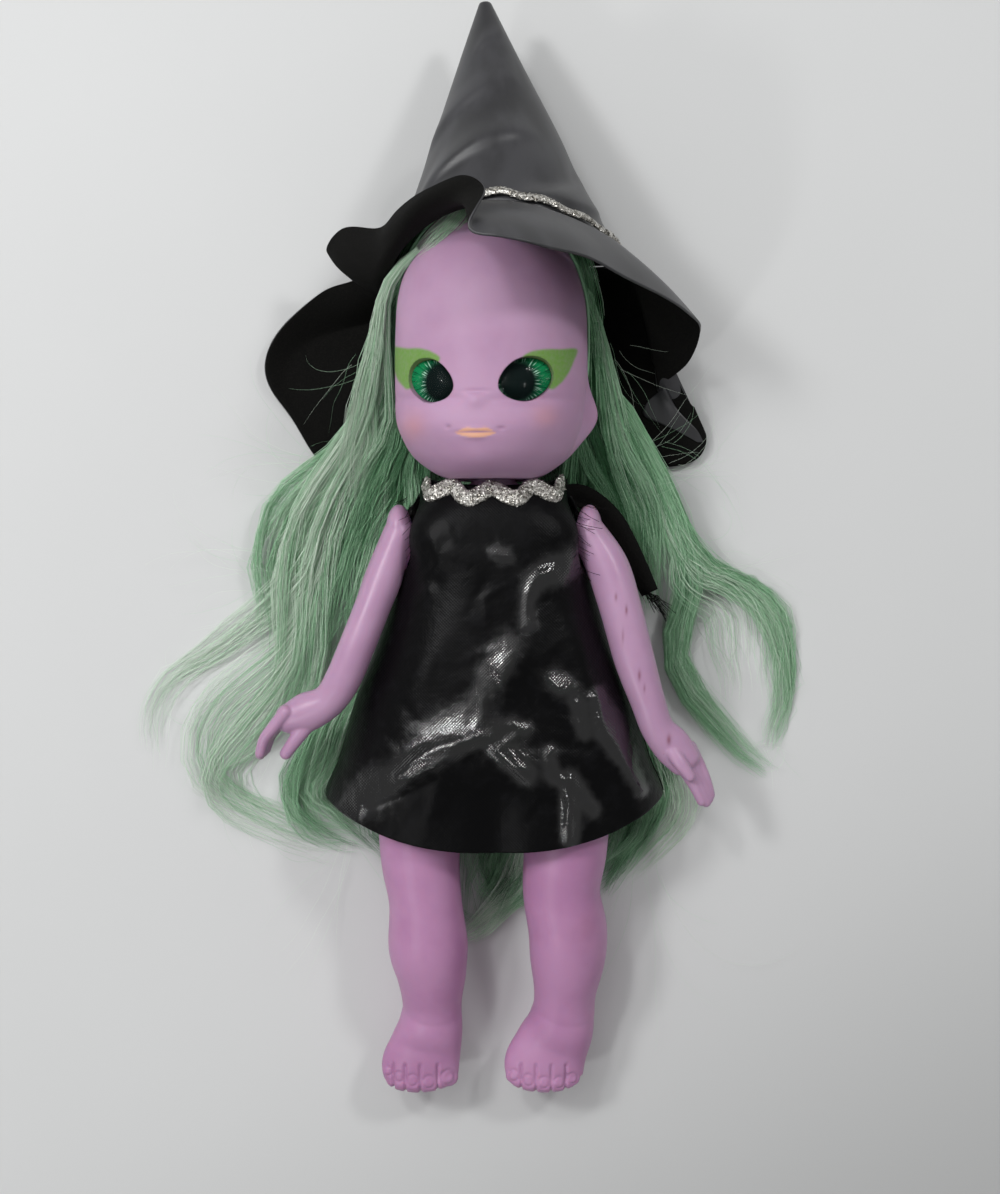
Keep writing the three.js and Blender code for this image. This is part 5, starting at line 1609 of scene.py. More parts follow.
    def ease_middle(self, obj: Object) -> None:
        """Gives both halves the same normals along the middle, so that no line shows there."""
        step = 0.02
        rows = self.panel(math.pi / 2 - step, math.pi / 2 + step, True)
        across = rows[:, 0] - rows[:, -1]
        down = np.gradient(rows.mean(1), axis=0)
        normals = unit(np.cross(down, across))
        normals *= np.sign(normals[:, 2:3])
        points = points_of(obj)
        order = np.argsort(rows[:, :, 1].mean(1))
        level = rows[order, :, 1].mean(1)
        even = np.stack([np.interp(points[:, 1], level, normals[order, k]) for k in range(3)], -1)
        outer = np.arange(len(points)) < len(points) // 2
        even *= np.where(outer, 1, -1)[:, None]
        middle = np.abs(points[:, 0]) < 0.15
        obj.data.normals_split_custom_set_from_vertices(np.where(middle[:, None], even, 0.0).tolist())

    def trim_line(self, count: int) -> Array:
        """The zigzag braid's middle line along the front neckline."""
        angle = np.linspace(0.16 * math.pi, 0.84 * math.pi, count)
        middle = self.top_y - self.trim_wave - self.trim_half + 1.1 + self.neck_rise * np.cos(angle) ** 2
        base = self.point(middle, angle, -self.trim_lift)
        run = np.concatenate([[0], np.cumsum(np.linalg.norm(np.diff(base, axis=0), axis=1))])
        wave = self.trim_wave * np.cos(math.tau * run / self.trim_pitch)
        return self.point(middle + wave, angle, -self.trim_lift)

    def build_trim(self, braid: Material, flakes: Tree) -> None:
        """The silver braid, crusted with flakes."""
        line = self.trim_line(90)
        outward = line - (0, 0, self.trim_heart)
        outward[:, 1] = 0
        outward = unit(outward)
        across = unit(np.cross(outward, unit(np.gradient(line, axis=0))))
        turn = circle(18)
        wide = np.sign(np.cos(turn)) * np.abs(np.cos(turn)) ** 0.7 * self.trim_half
        thick = np.sin(turn) * self.trim_thick
        rings = line[:, None] + across[:, None] * wide[None, :, None] + outward[:, None] * thick[None, :,
                                                                                                 None]
        obj = make_object("neck_braid", Shell.loft(rings), braid)
        grow(obj, flakes, Density=2.4e6, Size=0.34 * MM, Seed=SEED, Material=braid)
        dress_piece(obj, "torso", "silver_braid", "neck_trim")


@dataclass(frozen=True)
class ConeCrease:
    """A slanting crease of the hat's cone, steeper on its lower side."""

    start: Pair  # its first angle from the front and share of the cone's height
    end: Pair
    height: float
    half_width: float  # as a share of the cone's height

    def at(self, angle: Array, share: Array) -> Array:
        """How far places of the cone move out.

        Args:
            angle: angles round the cone from the front.
            share: shares of its height.

        Returns:
            One length for each place.
        """
        (first, low), (last, high) = self.start, self.end
        turn = (angle + math.pi) % (math.tau) - math.pi
        off = share - (low + (high - low) * (turn - first) / (last - first))
        shown = smoothstep(first - 0.3, first + 0.2, turn) * smoothstep(last + 0.3, last - 0.2, turn)
        width = np.where(off < 0, 0.4 * self.half_width, self.half_width)
        return self.height * shown * bell(off / width)


@dataclass
class Hat:
    """The hat: a leaning cone, a braid round its foot and a ruffled brim with a dark lining."""

    height: float = 58.2
    radius: float = 23.55
    tip: float = 1.1
    foot: Spot = (1.8, 83.0, 26.0)
    lean: float = math.radians(3.9)
    pitch: float = math.radians(-9)
    wall: float = 0.9
    foot_slant: float = 8.0  # how much lower the foot is at the sides than at the front and back
    foot_peak: float = -0.26  # where the foot is highest, round from the front
    columns: int = 340
    flare_rows: int = 30
    # the brim's free edge, across and up from the cone's foot and above the table,
    # from the middle of the front round the doll's left
    edge: Rows = (
        (-0.4, -9.4, 73), (7.8, -9.7, 71), (16.3, -11.6, 65), (25.3, -14, 56), (34.8, -16.5, 45),
        (42.7, -18, 33), (46.6, -20.9, 22), (44.7, -27.2, 12), (37.7, -33, 4), (41.4, -38, 2.2),
        (48.2, -42.9, 2.2), (49.6, -47.3, 2), (44.2, -51.4, 1.6), (28.2, -52, 0.9), (8.2, -51, 0.9),
        (-11.8, -51, 0.9), (-29.8, -51.6, 0.9), (-43.1, -51.8, 1.2), (-51.5, -41.2, 1.8), (-56.6, -32.8, 2.6),
        (-58, -25.7, 3.4), (-53.5, -17.4, 5), (-43.6, -10.5, 8), (-35.1, -6.7, 11), (-38.3, -3.6, 14),
        (-40.8, -1.1, 18), (-36.5, 1.9, 23), (-27.8, 1.4, 31), (-22.6, 2.8, 42), (-15.5, 4.6, 54),
        (-7.8, 5.4, 62), (-3.3, 3.2, 66), (-4.9, -2.7, 70), (-6.4, -7.6, 71.5),
    )
    turned_rise: float = 0.9
    # where the edge is turned over at the doll's left: the inner and the outer line
    turned: tuple[Rows, Rows] = (
        ((37.2, 47.6, 12), (35.4, 44.2, 12.4), (40, 42, 11.4), (44.5, 40, 9.6), (49.5, 37.4, 6.4)),
        ((41, 51, 9.4), (44.2, 46.2, 8), (47, 43, 7.2), (49.6, 40.4, 6.6), (51, 37.4, 6.2)),
    )
    creases: tuple[ConeCrease, ...] = (
        ConeCrease((-1.2, 0.43), (0.5, 0.63), 1.5, 0.09), ConeCrease((-0.9, 0.19), (0.4, 0.36), 1.6, 0.08),
        ConeCrease((0.3, 0.1), (1.3, 0.3), -1.5, 0.07), ConeCrease((-0.3, 0.76), (0.8, 0.86), 2.4, 0.05),
        ConeCrease((0.2, 0.04), (1.2, 0.14), 1.2, 0.06),
    )
    trim_rise: float = 2.0
    trim_wave: float = 0.45
    trim_waves: int = 16
    trim_half: float = 1.05
    trim_lift: float = 1.0
    trim_thick: float = 0.5
    cone_columns: int = 120
    cone_end: float = 0.985  # share of the height where the blunt tip starts
    cone_sheet: float = 0.5
    cone_floor: float = 0.9  # how close to the table the cone may come
    brim_sheet: float = 0.55
    brim_floors: Pair = (0.75, 0.05)  # the same for the brim's top and for its underside

    @property
    def matrix(self) -> Array:
        """The hat's frame, at the middle of the cone's foot with y along the cone."""
        turn = Matrix.Rotation(self.pitch, 4, "X") @ Matrix.Rotation(self.lean, 4, "Z")
        return np.array(Matrix.Translation(self.foot) @ turn)

    def to_doll(self, points: Array) -> Array:
        """Points of the hat's frame in the doll's frame."""
        return points @ self.matrix[:3, :3].T + self.matrix[:3, 3]

    def cone_point(self, angle: Array, y: Array, out: Array | float) -> Array:
        """Points round the cone at heights above its foot, moved out from its surface.

        Args:
            angle: angles from the front.
            y: heights above the foot.
            out: how far the points are moved out.

        Returns:
            The points in the hat's frame.
        """
        radius = self.tip + (self.radius - self.tip) * (1 - y / self.height) + out
        return np.stack([radius * np.sin(angle), y + 0 * angle, radius * np.cos(angle)], -1)

    def foot_y(self, angle: Array) -> Array:
        """The slanting foot's height at angles from the front."""
        return -self.foot_slant * np.sin(angle - self.foot_peak) ** 2

    def build_cone(self, vinyl: Material, lining: Material) -> None:
        """The cone, a little dented and drawn in along its back seam."""
        n = self.cone_columns
        angle = circle(n)[None]
        share = np.concatenate([np.linspace(0, 0.9, 60), np.linspace(0.91, self.cone_end, 10)])[:, None]
        dent = 0.28 * np.sin(3 * angle + 7 * share) * np.sin(math.pi * share)
        dent = dent + 0.2 * np.sin(5 * angle - 11 * share) * share
        dent = dent + sum(crease.at(angle, share) for crease in self.creases)
        seam = -0.5 * bell((angle - math.pi) / 0.05)
        foot = self.foot_y(angle)
        along = foot + share * (self.height - foot)
        points = self.cone_point(angle + 0 * share, along, (dent + seam) * (1 - share))
        tip = self.cone_point(angle, np.full_like(angle, self.cone_end * self.height), 0)
        top = tip * (0.3, 1, 0.3) + (0, 0.5, 0)
        placed = self.to_doll(np.concatenate([points, top]))
        placed[..., 2] = np.maximum(placed[..., 2], self.cone_floor)
        shell = Shell.grid(placed, closed=True)
        hub = len(shell.points)
        shell.points = np.vstack([shell.points, shell.points[-n:].mean(0)[None]])
        shell.faces += [(hub - n + c, hub - n + (c + 1) % n, hub) for c in range(n)]
        obj = make_object("hat_cone_vinyl", shell, vinyl, lining)
        thicken(obj, self.cone_sheet, under=True)
        dress_piece(obj, "hat", "hat_vinyl", "hat_cone")

    def brim_grid(self) -> Array:
        """The brim's top surface, from its root under the cone to its free edge."""
        n = self.columns
        angle = circle(n)
        offset = np.array([self.foot[0], self.foot[1], 0])
        tip = smooth_rows(self.edge, n, closed=True) + offset
        foot = self.foot_y(angle)
        root = self.to_doll(self.cone_point(angle, foot - 0.3, -self.wall))
        leave = self.to_doll(self.cone_point(angle, foot - 0.6, 2.3))
        outward = unit(leave - np.array(self.foot))
        reach = np.linalg.norm(tip - leave, axis=1)
        rows = [root, 0.5 * (root + leave)]
        for share in np.linspace(0, 1, self.flare_rows):
            point = leave + (tip - leave) * share
            swell = 0.12 - 0.09 * np.maximum(0, np.sin(angle))
            point += outward * (math.sin(math.pi * share) * swell * reach)[:, None]
            flutter = 0.5 * np.sin(9 * angle + 3) + 0.35 * np.sin(17 * angle + 1)
            point[:, 1] += flutter * share**2
            rows.append(point)
        grid = np.array(rows)
        grid[..., 2] = np.maximum(grid[..., 2], self.brim_floors[0])
        return grid

    def lay_down(self, grid: Array, ruffle: Shell) -> None:
        """Moves a grid of points down on the brim, seen from above.

        Args:
            grid: the points, which are moved in place.
            ruffle: the brim.
        """
        tree = BVHTree.FromPolygons(ruffle.points.tolist(), ruffle.faces)
        for spot in grid.reshape(-1, 3):
            hit = tree.ray_cast(Vector((spot[0], spot[1], 20)), Vector((0, 0, -1)))[0]
            spot[2] = (hit or tree.find_nearest(Vector((spot[0], spot[1], 4)))[0])[2] + self.turned_rise

    def build_brim(self, vinyl: Material, lining: Material) -> None:
        """The ruffled brim, vinyl on top and lining underneath."""
        turned = np.stack([smooth_rows(line, 24) for line in self.turned], 1)
        across = np.linspace(0, 1, 8)[None, :, None]
        turned = turned[:, :1] * (1 - across) + turned[:, 1:] * across
        ruffle = Shell.grid(self.brim_grid(), closed=True)
        self.lay_down(turned, ruffle)
        shell = Shell.joined([ruffle, Shell.grid(turned)])
        obj = make_object("hat_brim_ruffle", shell, vinyl, lining)
        ease = obj.modifiers.new("Ease", "SMOOTH")
        ease.factor, ease.iterations = 0.5, 6
        apply_modifiers(obj)
        root = normals_of(obj)[: 2 * self.columns]
        if (root @ self.matrix[:3, 1]).mean() < 0:
            obj.data.flip_normals()
        thicken(obj, self.brim_sheet, under=True)
        points = points_of(obj)
        points[:, 2] = np.maximum(points[:, 2], self.brim_floors[1])
        set_points(obj, points)
        dress_piece(obj, "hat", "hat_vinyl", "hat_brim")

    def build_trim(self, braid: Material, flakes: Tree) -> None:
        """The braid round the cone's foot."""
        angle = circle(240)
        slope = math.hypot(1, self.radius / self.height)
        wave = self.trim_wave * np.cos(self.trim_waves * angle)
        rings = []
        for a in circle(12):
            y = self.foot_y(angle) + self.trim_rise + wave + self.trim_half * math.cos(a)
            out = (self.trim_lift + self.trim_thick * math.sin(a)) * slope + 0 * angle
            rings.append(self.to_doll(self.cone_point(angle, y, out)))
        grid = np.array(rings).transpose(1, 0, 2)
        closed = np.concatenate([grid, grid[:1]])
        obj = make_object("hat_braid", Shell.grid(closed, closed=True), braid)
        weld = obj.modifiers.new("Weld", "WELD")
        weld.merge_threshold = 1e-6
        apply_modifiers(obj)
        grow(obj, flakes, Density=1.6e6, Size=0.34 * MM, Seed=SEED + 1, Material=braid)
        dress_piece(obj, "hat", "silver_braid", "hat_trim")


class Tone(Enum):
    """How deep or pale a lock is, from 0 to 1, as painted light and shade: deep for locks in shade beneath
    others, pale for lit ones.
    """

    DEEP = 0.2
    SAGE = 0.4
    MINT = 0.58
    PALE = 0.8


@dataclass(frozen=True)
class Lock:
    """A lock of hair: places along it as x, y, z and half width, its tone of painted light or shade, and its
    guides.
    """

    rows: Rows
    tone: Tone
    guides: int = 7
    spread: float = 0.85
    wander: float = 0.28  # how far guides cross each other, as a share of the half width

    def lines(self, rng: np.random.Generator) -> Guides:
        """The guides' points, widths and tones."""
        data = smooth_rows(self.rows, 24)
        data[:, 3] *= 0.2 + 0.8 * smoothstep(0, 0.16, np.linspace(0, 1, len(data)))
        across = sideways(data)
        lines, widths, tones = [], [], []
        for k in range(self.guides):
            slide = self.spread * (2 * (k + 0.5) / self.guides - 1) if self.guides > 1 else 0
            slide += rng.normal(0, 0.08)
            turns, phase = rng.uniform(0.6, 2.2, 2), rng.uniform(0, math.tau, 2)
            share = np.linspace(0, 1, len(data))
            wander = self.wander * share * sum(np.sin(math.tau * t * share + p) for t, p in zip(turns, phase))
            line = data[:, :3] + across * (data[:, 3] * (slide + wander))[:, None]
            sway = 0.6 * self.wander * data[:, 3] * np.sin(math.tau * turns[0] * share)
            line[:, 2] += rng.normal(0, 0.35) + sway
            lines.append(line)
            widths.append(data[:, 3] * MM * 1.3 / self.guides + 0.0006)
            tones.append(np.full(len(data), self.tone.value + rng.normal(0, 0.12)))
        return lines, widths, tones


@dataclass(frozen=True)
class Wisps:
    """Single hairs that stray from the rest: about where they leave it, which way and how far."""

    start: Spot
    spread: Spot
    heading: Pair  # in degrees round from X
    count: int
    length: Pair

    def lines(self, rng: np.random.Generator) -> list[Array]:
        """Each hair's points, curling as it sinks to the table."""
        lines = []
        for _ in range(self.count):
            spot = np.array(self.start) + rng.normal(0, 0.5, 3) * self.spread
            length, steps = rng.uniform(*self.length), 24
            bend = np.cumsum(rng.normal(0, 0.02, steps)) + rng.normal(0, 0.03)
            way = math.radians(rng.uniform(*self.heading)) + np.cumsum(bend)
            path = np.cumsum(np.column_stack([np.cos(way), np.sin(way)]), axis=0) * length / steps
            drop = spot[2] + (min(spot[2], 1.2) - spot[2]) * np.linspace(0, 1, steps) ** 1.5
            lines.append(np.column_stack([spot[:2] + path, drop]))
        return lines


@dataclass
class Hair:
    """The hair: a rooted cap, locks beside the face, falls on the table and the length underneath."""

    tree: Tree
    fibre: Material
    thickness: float = 0.055
    faces: int = 186_000  # the most faces that one piece of strands may have
    hairline: Pair = (19.5, -4.5)  # up from the chin and forward, where it meets the ear
    hairline_slope: float = math.radians(22)
    nape: float = 13.0
    fringe: Lock = Lock(((0, 92, 26, 0.6), (-4, 88.5, 36, 1.0), (-8.5, 84, 41, 1.4), (-13, 80, 41, 1.3),
                         (-17, 76, 38, 0.8)), Tone.PALE, 3)
    # the tones paint light and shade: the top locks paler, the locks beneath them deep
    front: dict[Side, tuple[Lock, ...]] = field(default_factory=lambda: {
        Side.RIGHT: (
            Lock(((-17, 78, 36, 0.8), (-22, 74, 32, 1.0), (-25, 69, 28, 1.3), (-26.4, 61, 23, 2.2),
                  (-28, 51, 19, 3.6), (-30, 42, 15.5, 5), (-32.4, 34.6, 12.6, 4.8), (-34, 28, 11, 3),
                  (-34.6, 23, 9.6, 1.2)), Tone.PALE, 8),
            Lock(((-19, 76, 28, 1.0), (-24.5, 67, 23, 2.0), (-26.4, 57, 19, 3.4), (-27.4, 46, 15, 4.4),
                  (-28.6, 36, 11, 5), (-30.6, 25, 8, 5.5), (-34, 12, 7, 6)), Tone.DEEP, 7),
            Lock(((-15, 57, 12, 1.2), (-19, 49.5, 13.5, 3), (-21, 40, 13, 4.6), (-22.5, 31, 10, 6.4),
                  (-25, 20, 8, 7), (-30, 6, 6.4, 6.5)), Tone.DEEP, 7),
        ),
        Side.LEFT: (
            Lock(((18, 74, 32, 0.5), (21.4, 69, 29, 0.7), (24, 62, 25, 0.9), (26.2, 53, 20, 1.3),
                  (28.4, 43, 15.6, 2.4), (30.6, 34, 12, 3.8), (34, 24, 9.4, 4.6), (37, 13, 7, 4.2),
                  (40, 2, 6, 4)), Tone.SAGE, 4),
            Lock(((22.4, 60, 21, 0.7), (24.6, 53, 18, 1.4), (26.8, 45, 15, 2.8), (29, 36, 11, 4.4),
                  (31, 24, 8.4, 5.2), (34, 10, 7, 5)), Tone.DEEP, 7),
            Lock(((15, 56, 12, 1.2), (19, 49, 13.5, 3), (22, 39, 13, 5), (24.5, 29, 10, 7), (28, 16, 8, 7),
                  (32, 4, 6.4, 5.5)), Tone.DEEP, 7),
        ),
    })
    # the tones paint light and shade: the inner locks deeper, the outer ones paler
    falls: dict[Side, tuple[Lock, ...]] = field(default_factory=lambda: {
        Side.RIGHT: (
            Lock(((-20, 54, 13, 1), (-28, 46, 14, 3), (-36, 34, 9, 4), (-46, 24.5, 7, 5), (-52, 16, 5, 5.5),
                  (-55, 8, 4.4, 5.5), (-53.5, 0, 4, 5), (-50, -9, 4, 5), (-47.5, -18, 4, 5)), Tone.MINT, 10),
            Lock(((-20, 53, 11, 1), (-28, 44, 13, 4), (-35, 32, 10, 6), (-42, 20, 8, 7.5), (-45, 8, 7, 8),
                  (-46, -4, 6, 8), (-47, -16, 5, 7), (-50, -25, 4, 6), (-57, -33.5, 3, 5), (-64, -39.5, 2, 4),
                  (-69, -43, 1.4, 3)), Tone.PALE, 12),
            Lock(((-18, 50, 9, 1), (-26, 38, 11, 4), (-32, 26, 9, 6), (-36, 12, 7, 7), (-39, -2, 6, 7),
                  (-42, -14, 5, 6), (-45, -22, 4, 5)), Tone.SAGE, 9),
            Lock(((-15, 48, 7, 1), (-22, 36, 9, 4), (-26, 26, 8, 5), (-30, 14, 7, 5), (-33, 2, 6, 5),
                  (-36, -10, 5, 5)), Tone.DEEP, 7),
            Lock(((-30, -18, 4, 1.5), (-38, -28, 4, 5), (-42, -38, 3.2, 6), (-46, -46, 2.4, 6.5),
                  (-44, -52, 2, 6), (-38, -56.5, 1.8, 4.5), (-31, -59, 1.8, 3)), Tone.MINT, 9),
        ),
        Side.LEFT: (
            Lock(((19, 56, 13, 1), (27, 50, 15, 3), (33, 39, 11, 3.6), (38, 30, 9, 3.6), (41, 23, 8, 3.4),
                  (44, 15, 6.4, 3.2), (46.6, 7, 5.4, 3.2), (46.2, 0, 4.6, 3.2), (43.8, -7, 4, 3.2),
                  (43, -14, 3.6, 3.2), (46.2, -22.6, 3.2, 3.6), (52.4, -30.4, 2.6, 3.6), (60, -38, 2, 3.2),
                  (67, -43.6, 1.4, 2.4)), Tone.MINT, 10),
            Lock(((18, 55, 11, 1), (25, 48, 14, 4), (28, 40, 11, 6), (31, 32, 9, 6.5), (33, 24, 8, 6),
                  (34.5, 16, 7, 4.5), (36, 6, 6, 3.4), (37.6, -4, 5, 3)), Tone.SAGE, 8),
            Lock(((30, -19, 4.4, 1.5), (36, -30, 4.4, 4), (38.5, -40, 3.6, 4), (37, -50, 3, 4.6),
                  (33.5, -58, 2.4, 5), (29, -66, 2, 4.4), (25.5, -72, 1.6, 3)), Tone.SAGE, 8),
        ),
    })
    # the loose strands on the table, with fewer guides the thinner they lie
    loops: dict[Side, tuple[Lock, ...]] = field(default_factory=lambda: {
        Side.RIGHT: (
            Lock(((-40, 20, 8, 4), (-46, 7, 6, 4), (-53, -1.5, 5, 4.5), (-61, -8, 3.4, 4.5), (-70, -14, 2, 4),
                  (-79, -21, 1.4, 3), (-83.5, -31, 1, 2.4), (-83, -42, 1, 2)), Tone.PALE, 3),
            Lock(((-43, 4, 6, 4), (-48, -9, 5, 4), (-56, -18, 4, 6), (-66, -27, 2, 6), (-71, -37, 1.4, 5),
                  (-68, -46, 1.2, 4), (-57, -52, 1.2, 3.4), (-45, -56.5, 1.2, 3), (-32, -59, 1.2, 2)),
                 Tone.PALE, 3),
            Lock(((-44, -8, 5, 4), (-49, -20, 4, 4), (-58, -33, 2.4, 5), (-66, -44, 1.4, 4),
                  (-62, -52, 1.2, 3), (-50, -58, 1.2, 2.4), (-36, -63, 1.2, 2)), Tone.PALE, 2),
        ),
        Side.LEFT: (
            Lock(((36, 33, 10, 3), (41, 22, 8, 3), (45, 13, 6.4, 3.4), (50, 7, 4.8, 3.4), (55, 4, 3.6, 3),
                  (60.4, 1.4, 2.8, 3), (66, -3, 2.2, 3), (70.4, -9.6, 1.8, 3), (71.4, -16.8, 1.6, 3),
                  (70.6, -23.6, 1.4, 3), (68.6, -30.6, 1.2, 2.6), (66.6, -37.5, 1.2, 2)), Tone.MINT, 8),
            Lock(((44, 10, 5.4, 3), (48, 3, 4.6, 4), (55, -2, 3.4, 5), (60, -9, 2.4, 5), (61, -18, 2, 4),
                  (58, -27, 2, 4)), Tone.PALE, 1),
            Lock(((38, -34, 4, 3), (42, -42, 3.4, 3.4), (43, -51, 2.4, 4), (39, -60, 1.6, 3),
                  (32, -69, 1.4, 2.4)), Tone.PALE, 2),
        ),
    })
    # the tones paint the shade beneath the doll, and the pale lock a painted sheen between the legs
    under: tuple[Lock, ...] = (
        Lock(((0, 46, 4.6, 15), (0, 30, 4.4, 17), (0, 0, 2.6, 18), (-2, -30, 2.4, 24), (-4, -54, 2.2, 26),
              (-4, -70, 1.6, 16), (-2, -79, 1.2, 8)), Tone.SAGE, 16),
        Lock(((12, 44, 4.6, 9), (15, 24, 4, 9), (16, -10, 2.4, 12), (22, -40, 2.2, 16), (24, -56, 1.8, 14),
              (18, -70, 1.4, 8)), Tone.DEEP, 10),
        Lock(((-12, 44, 4.6, 9), (-15, 24, 4, 9), (-16, -10, 2.4, 12), (-24, -38, 2.2, 16),
              (-26, -52, 1.8, 12), (-20, -62, 1.4, 7)), Tone.DEEP, 10),
        Lock(((8, -36, 2.2, 6), (7, -52, 2, 9), (5, -63, 1.8, 9), (2, -71, 1.6, 6), (-2, -76, 1.4, 3)),
             Tone.SAGE, 10),
        Lock(((12, -50, 2.4, 4), (9, -64, 2.2, 6), (4, -73, 2, 5), (-2, -79, 1.6, 3.4), (-8, -83, 1.4, 1.6)),
             Tone.PALE, 5),
    )
    wisps: tuple[Wisps, ...] = (
        Wisps((-40, 30, 12), (7, 7, 3), (140, 215), 20, (16, 36)),
        Wisps((38, 30, 12), (6, 8, 3), (-30, 50), 20, (16, 36)),
        Wisps((-58, -30, 3), (9, 12, 1), (190, 265), 26, (14, 24)),
        Wisps((-34, -57, 2.4), (10, 3, 0.6), (235, 345), 18, (20, 45)),
        Wisps((36, -64, 2.4), (6, 6, 0.6), (-115, -60), 7, (30, 58)),
        Wisps((64, -36, 2), (6, 6, 0.6), (-70, 10), 10, (8, 14)),
        Wisps((-52, 4, 6), (6, 12, 1), (150, 230), 20, (14, 34)),
        Wisps((48, 6, 6), (5, 12, 1), (-60, 30), 16, (12, 30)),
    )
    head_wisps: tuple[Wisps, ...] = (
        Wisps((-30, 56, 22), (3, 8, 3), (170, 230), 5, (12, 26)),
        Wisps((29, 58, 22), (3, 8, 3), (-70, 10), 7, (14, 28)),
    )
    ceiling: Pair = (3.0, 0.16)  # where the dress presses the hair flat, and by how much
    # where the locks and the falls leave the head's turn for the table, on each side: out, y, z
    lock_bend: Rows = ((30.0, 62, 18), (30.0, 34, 9))
    fall_bend: Rows = ((30.0, 46, 14), (30.0, 26, 9))
    fall_reach: tuple[Pair, Pair] = ((30, 42), (26, 46))  # across and along, how far it follows the head
    loop_fill: dict[Side, float] = field(default_factory=lambda: {Side.LEFT: 0.42, Side.RIGHT: 0.14})
    floor: float = 0.25  # how close to the table a strand may come

    def strands(
        self, name: str, locks: Sequence[Lock], seed: int, points: int = 13, fill: float = 1.0,
        wave: float = 3.4, frizz: float = 0.9, shortest: float = 0.6,
    ) -> Object:
        """Strands along a set of locks.

        Args:
            name: the piece's name.
            locks: the locks to follow.
            seed: the piece's own seed.
            points: points along each strand.
            fill: share of the most faces that the piece gets.
            wave: how far clumps wander, in millimetres.
            frizz: how far single strands wander, in millimetres.
            shortest: share of its guide that the shortest strand follows.

        Returns:
            The piece.
        """
        rng = np.random.default_rng(SEED + seed)
        lines, widths, tones = [], [], []
        for lock in locks:
            for store, values in zip((lines, widths, tones), lock.lines(rng)):
                store.extend(values)
        count = max(1, int(fill * self.faces / (len(lines) * (6 * points - 4))))
        obj = guide_object(name, lines, width=widths, tone=tones)
        return grow(
            obj, self.tree, Strands=count, Points=points, Wave=wave * MM, Frizz=frizz * MM,
            Thickness=self.thickness * MM, Shortest=shortest, Lift=0.55, Floor=self.floor * MM + SHIFT[2],
            Seed=SEED + seed, Material=self.fibre,
        )

    def on_scalp(self, head: Head, lock: Lock) -> Lock:
        """A lock moved to the nearest places of the scalp."""
        share, angle = np.meshgrid(np.linspace(0.4, 0.99, 80), circle(240))
        scalp = head.to_doll(head.surface(share, angle, 1.0)).reshape(-1, 3)
        rows = [(*scalp[np.argmin(np.linalg.norm(scalp - row[:3], axis=1))], row[3]) for row in lock.rows]
        return replace(lock, rows=tuple(rows))

    def stray(self, name: str, wisps: Sequence[Wisps], seed: int) -> Object:
        """The single hairs of a set of wisps, as one piece.

        Args:
            name: the piece's name.
            wisps: the wisps.
            seed: the piece's own seed.

        Returns:
            The piece.
        """
        rng = np.random.default_rng(SEED + seed)
        lines = [line for group in wisps for line in group.lines(rng)]
        flat = [np.full(len(line), 0.0002) for line in lines]
        tones = [np.full(len(line), Tone.PALE.value) for line in lines]
        return grow(
            guide_object(name, lines, width=flat, tone=tones), self.tree, Strands=1, Points=24, Wave=2.2 * MM,
            Frizz=0.5 * MM, Thickness=0.024 * MM, Shortest=0.9, Lift=0.1, Floor=self.floor * MM + SHIFT[2],
            Seed=SEED + seed, Material=self.fibre,
        )

    def above_hairline(self, points: Array) -> Array:
        """How far points of the head's frame are behind the hairline's plane."""
        y, z = points[..., 1] - self.hairline[0], points[..., 2] - self.hairline[1]
        return y * math.sin(self.hairline_slope) - z * math.cos(self.hairline_slope)

    def build_roots(self, head: Head) -> None:
        """The scalp's own cover, cut along the hairline and at the nape."""
        share = np.linspace(0.2, 0.988, 60)[:, None]
        angle = circle(120)[None]
        rings = head.to_doll(head.surface(share + 0 * angle, angle + 0 * share, 0.7))
        obj = make_object("hair_cap_roots", Shell.loft(rings), self.fibre)
        work = bmesh.new()
        work.from_mesh(obj.data)
        on_line = head.to_doll(np.array([0, self.hairline[0], self.hairline[1]]))
        slope = np.array([0, -math.sin(self.hairline_slope), math.cos(self.hairline_slope)])
        face = head.to_doll(slope) - head.to_doll(np.zeros(3))
        for spot, way in ((on_line, face), (NECK + (0, self.nape, 0), np.array([0.0, -1.0, 0.0]))):
            parts = work.verts[:] + work.edges[:] + work.faces[:]
            place = Vector(to_metres(spot))
            bmesh.ops.bisect_plane(work, geom=parts, plane_co=place, plane_no=Vector(way), clear_outer=True)
        work.to_mesh(obj.data)
        work.free()
        set_attribute(obj, "tone", np.full(len(obj.data.vertices), 0.3))
        thicken(obj, 0.6)
        dress_piece(obj, "head", "hair")

    def cap_lines(self, head: Head, count: int) -> Guides:
        """Guides over the scalp, from the crown to the hairline all round but for the face."""
        rng = np.random.default_rng(SEED + 40)
        lines, widths, tones = [], [], []
        for k in range(count):
            angle = (k + 0.5) / count * math.tau - math.pi
            tries = np.linspace(0.975, self.nape / head.height, 60)
            ahead = self.above_hairline(head.surface(tries, np.full(60, angle), 1.9)) < 1.0
            low = tries[np.argmax(ahead)] if ahead.any() else tries[-1]
            share = np.linspace(0.985, min(low, 0.97), 24)
            points = head.surface(share, np.full(24, angle) + rng.normal(0, 0.03), 1.9)
            lines.append(head.to_doll(points))
            widths.append(np.linspace(0.4, 2.6, 24) * MM)
            tones.append(np.full(24, Tone.SAGE.value + rng.normal(0, 0.12)))
        return lines, widths, tones

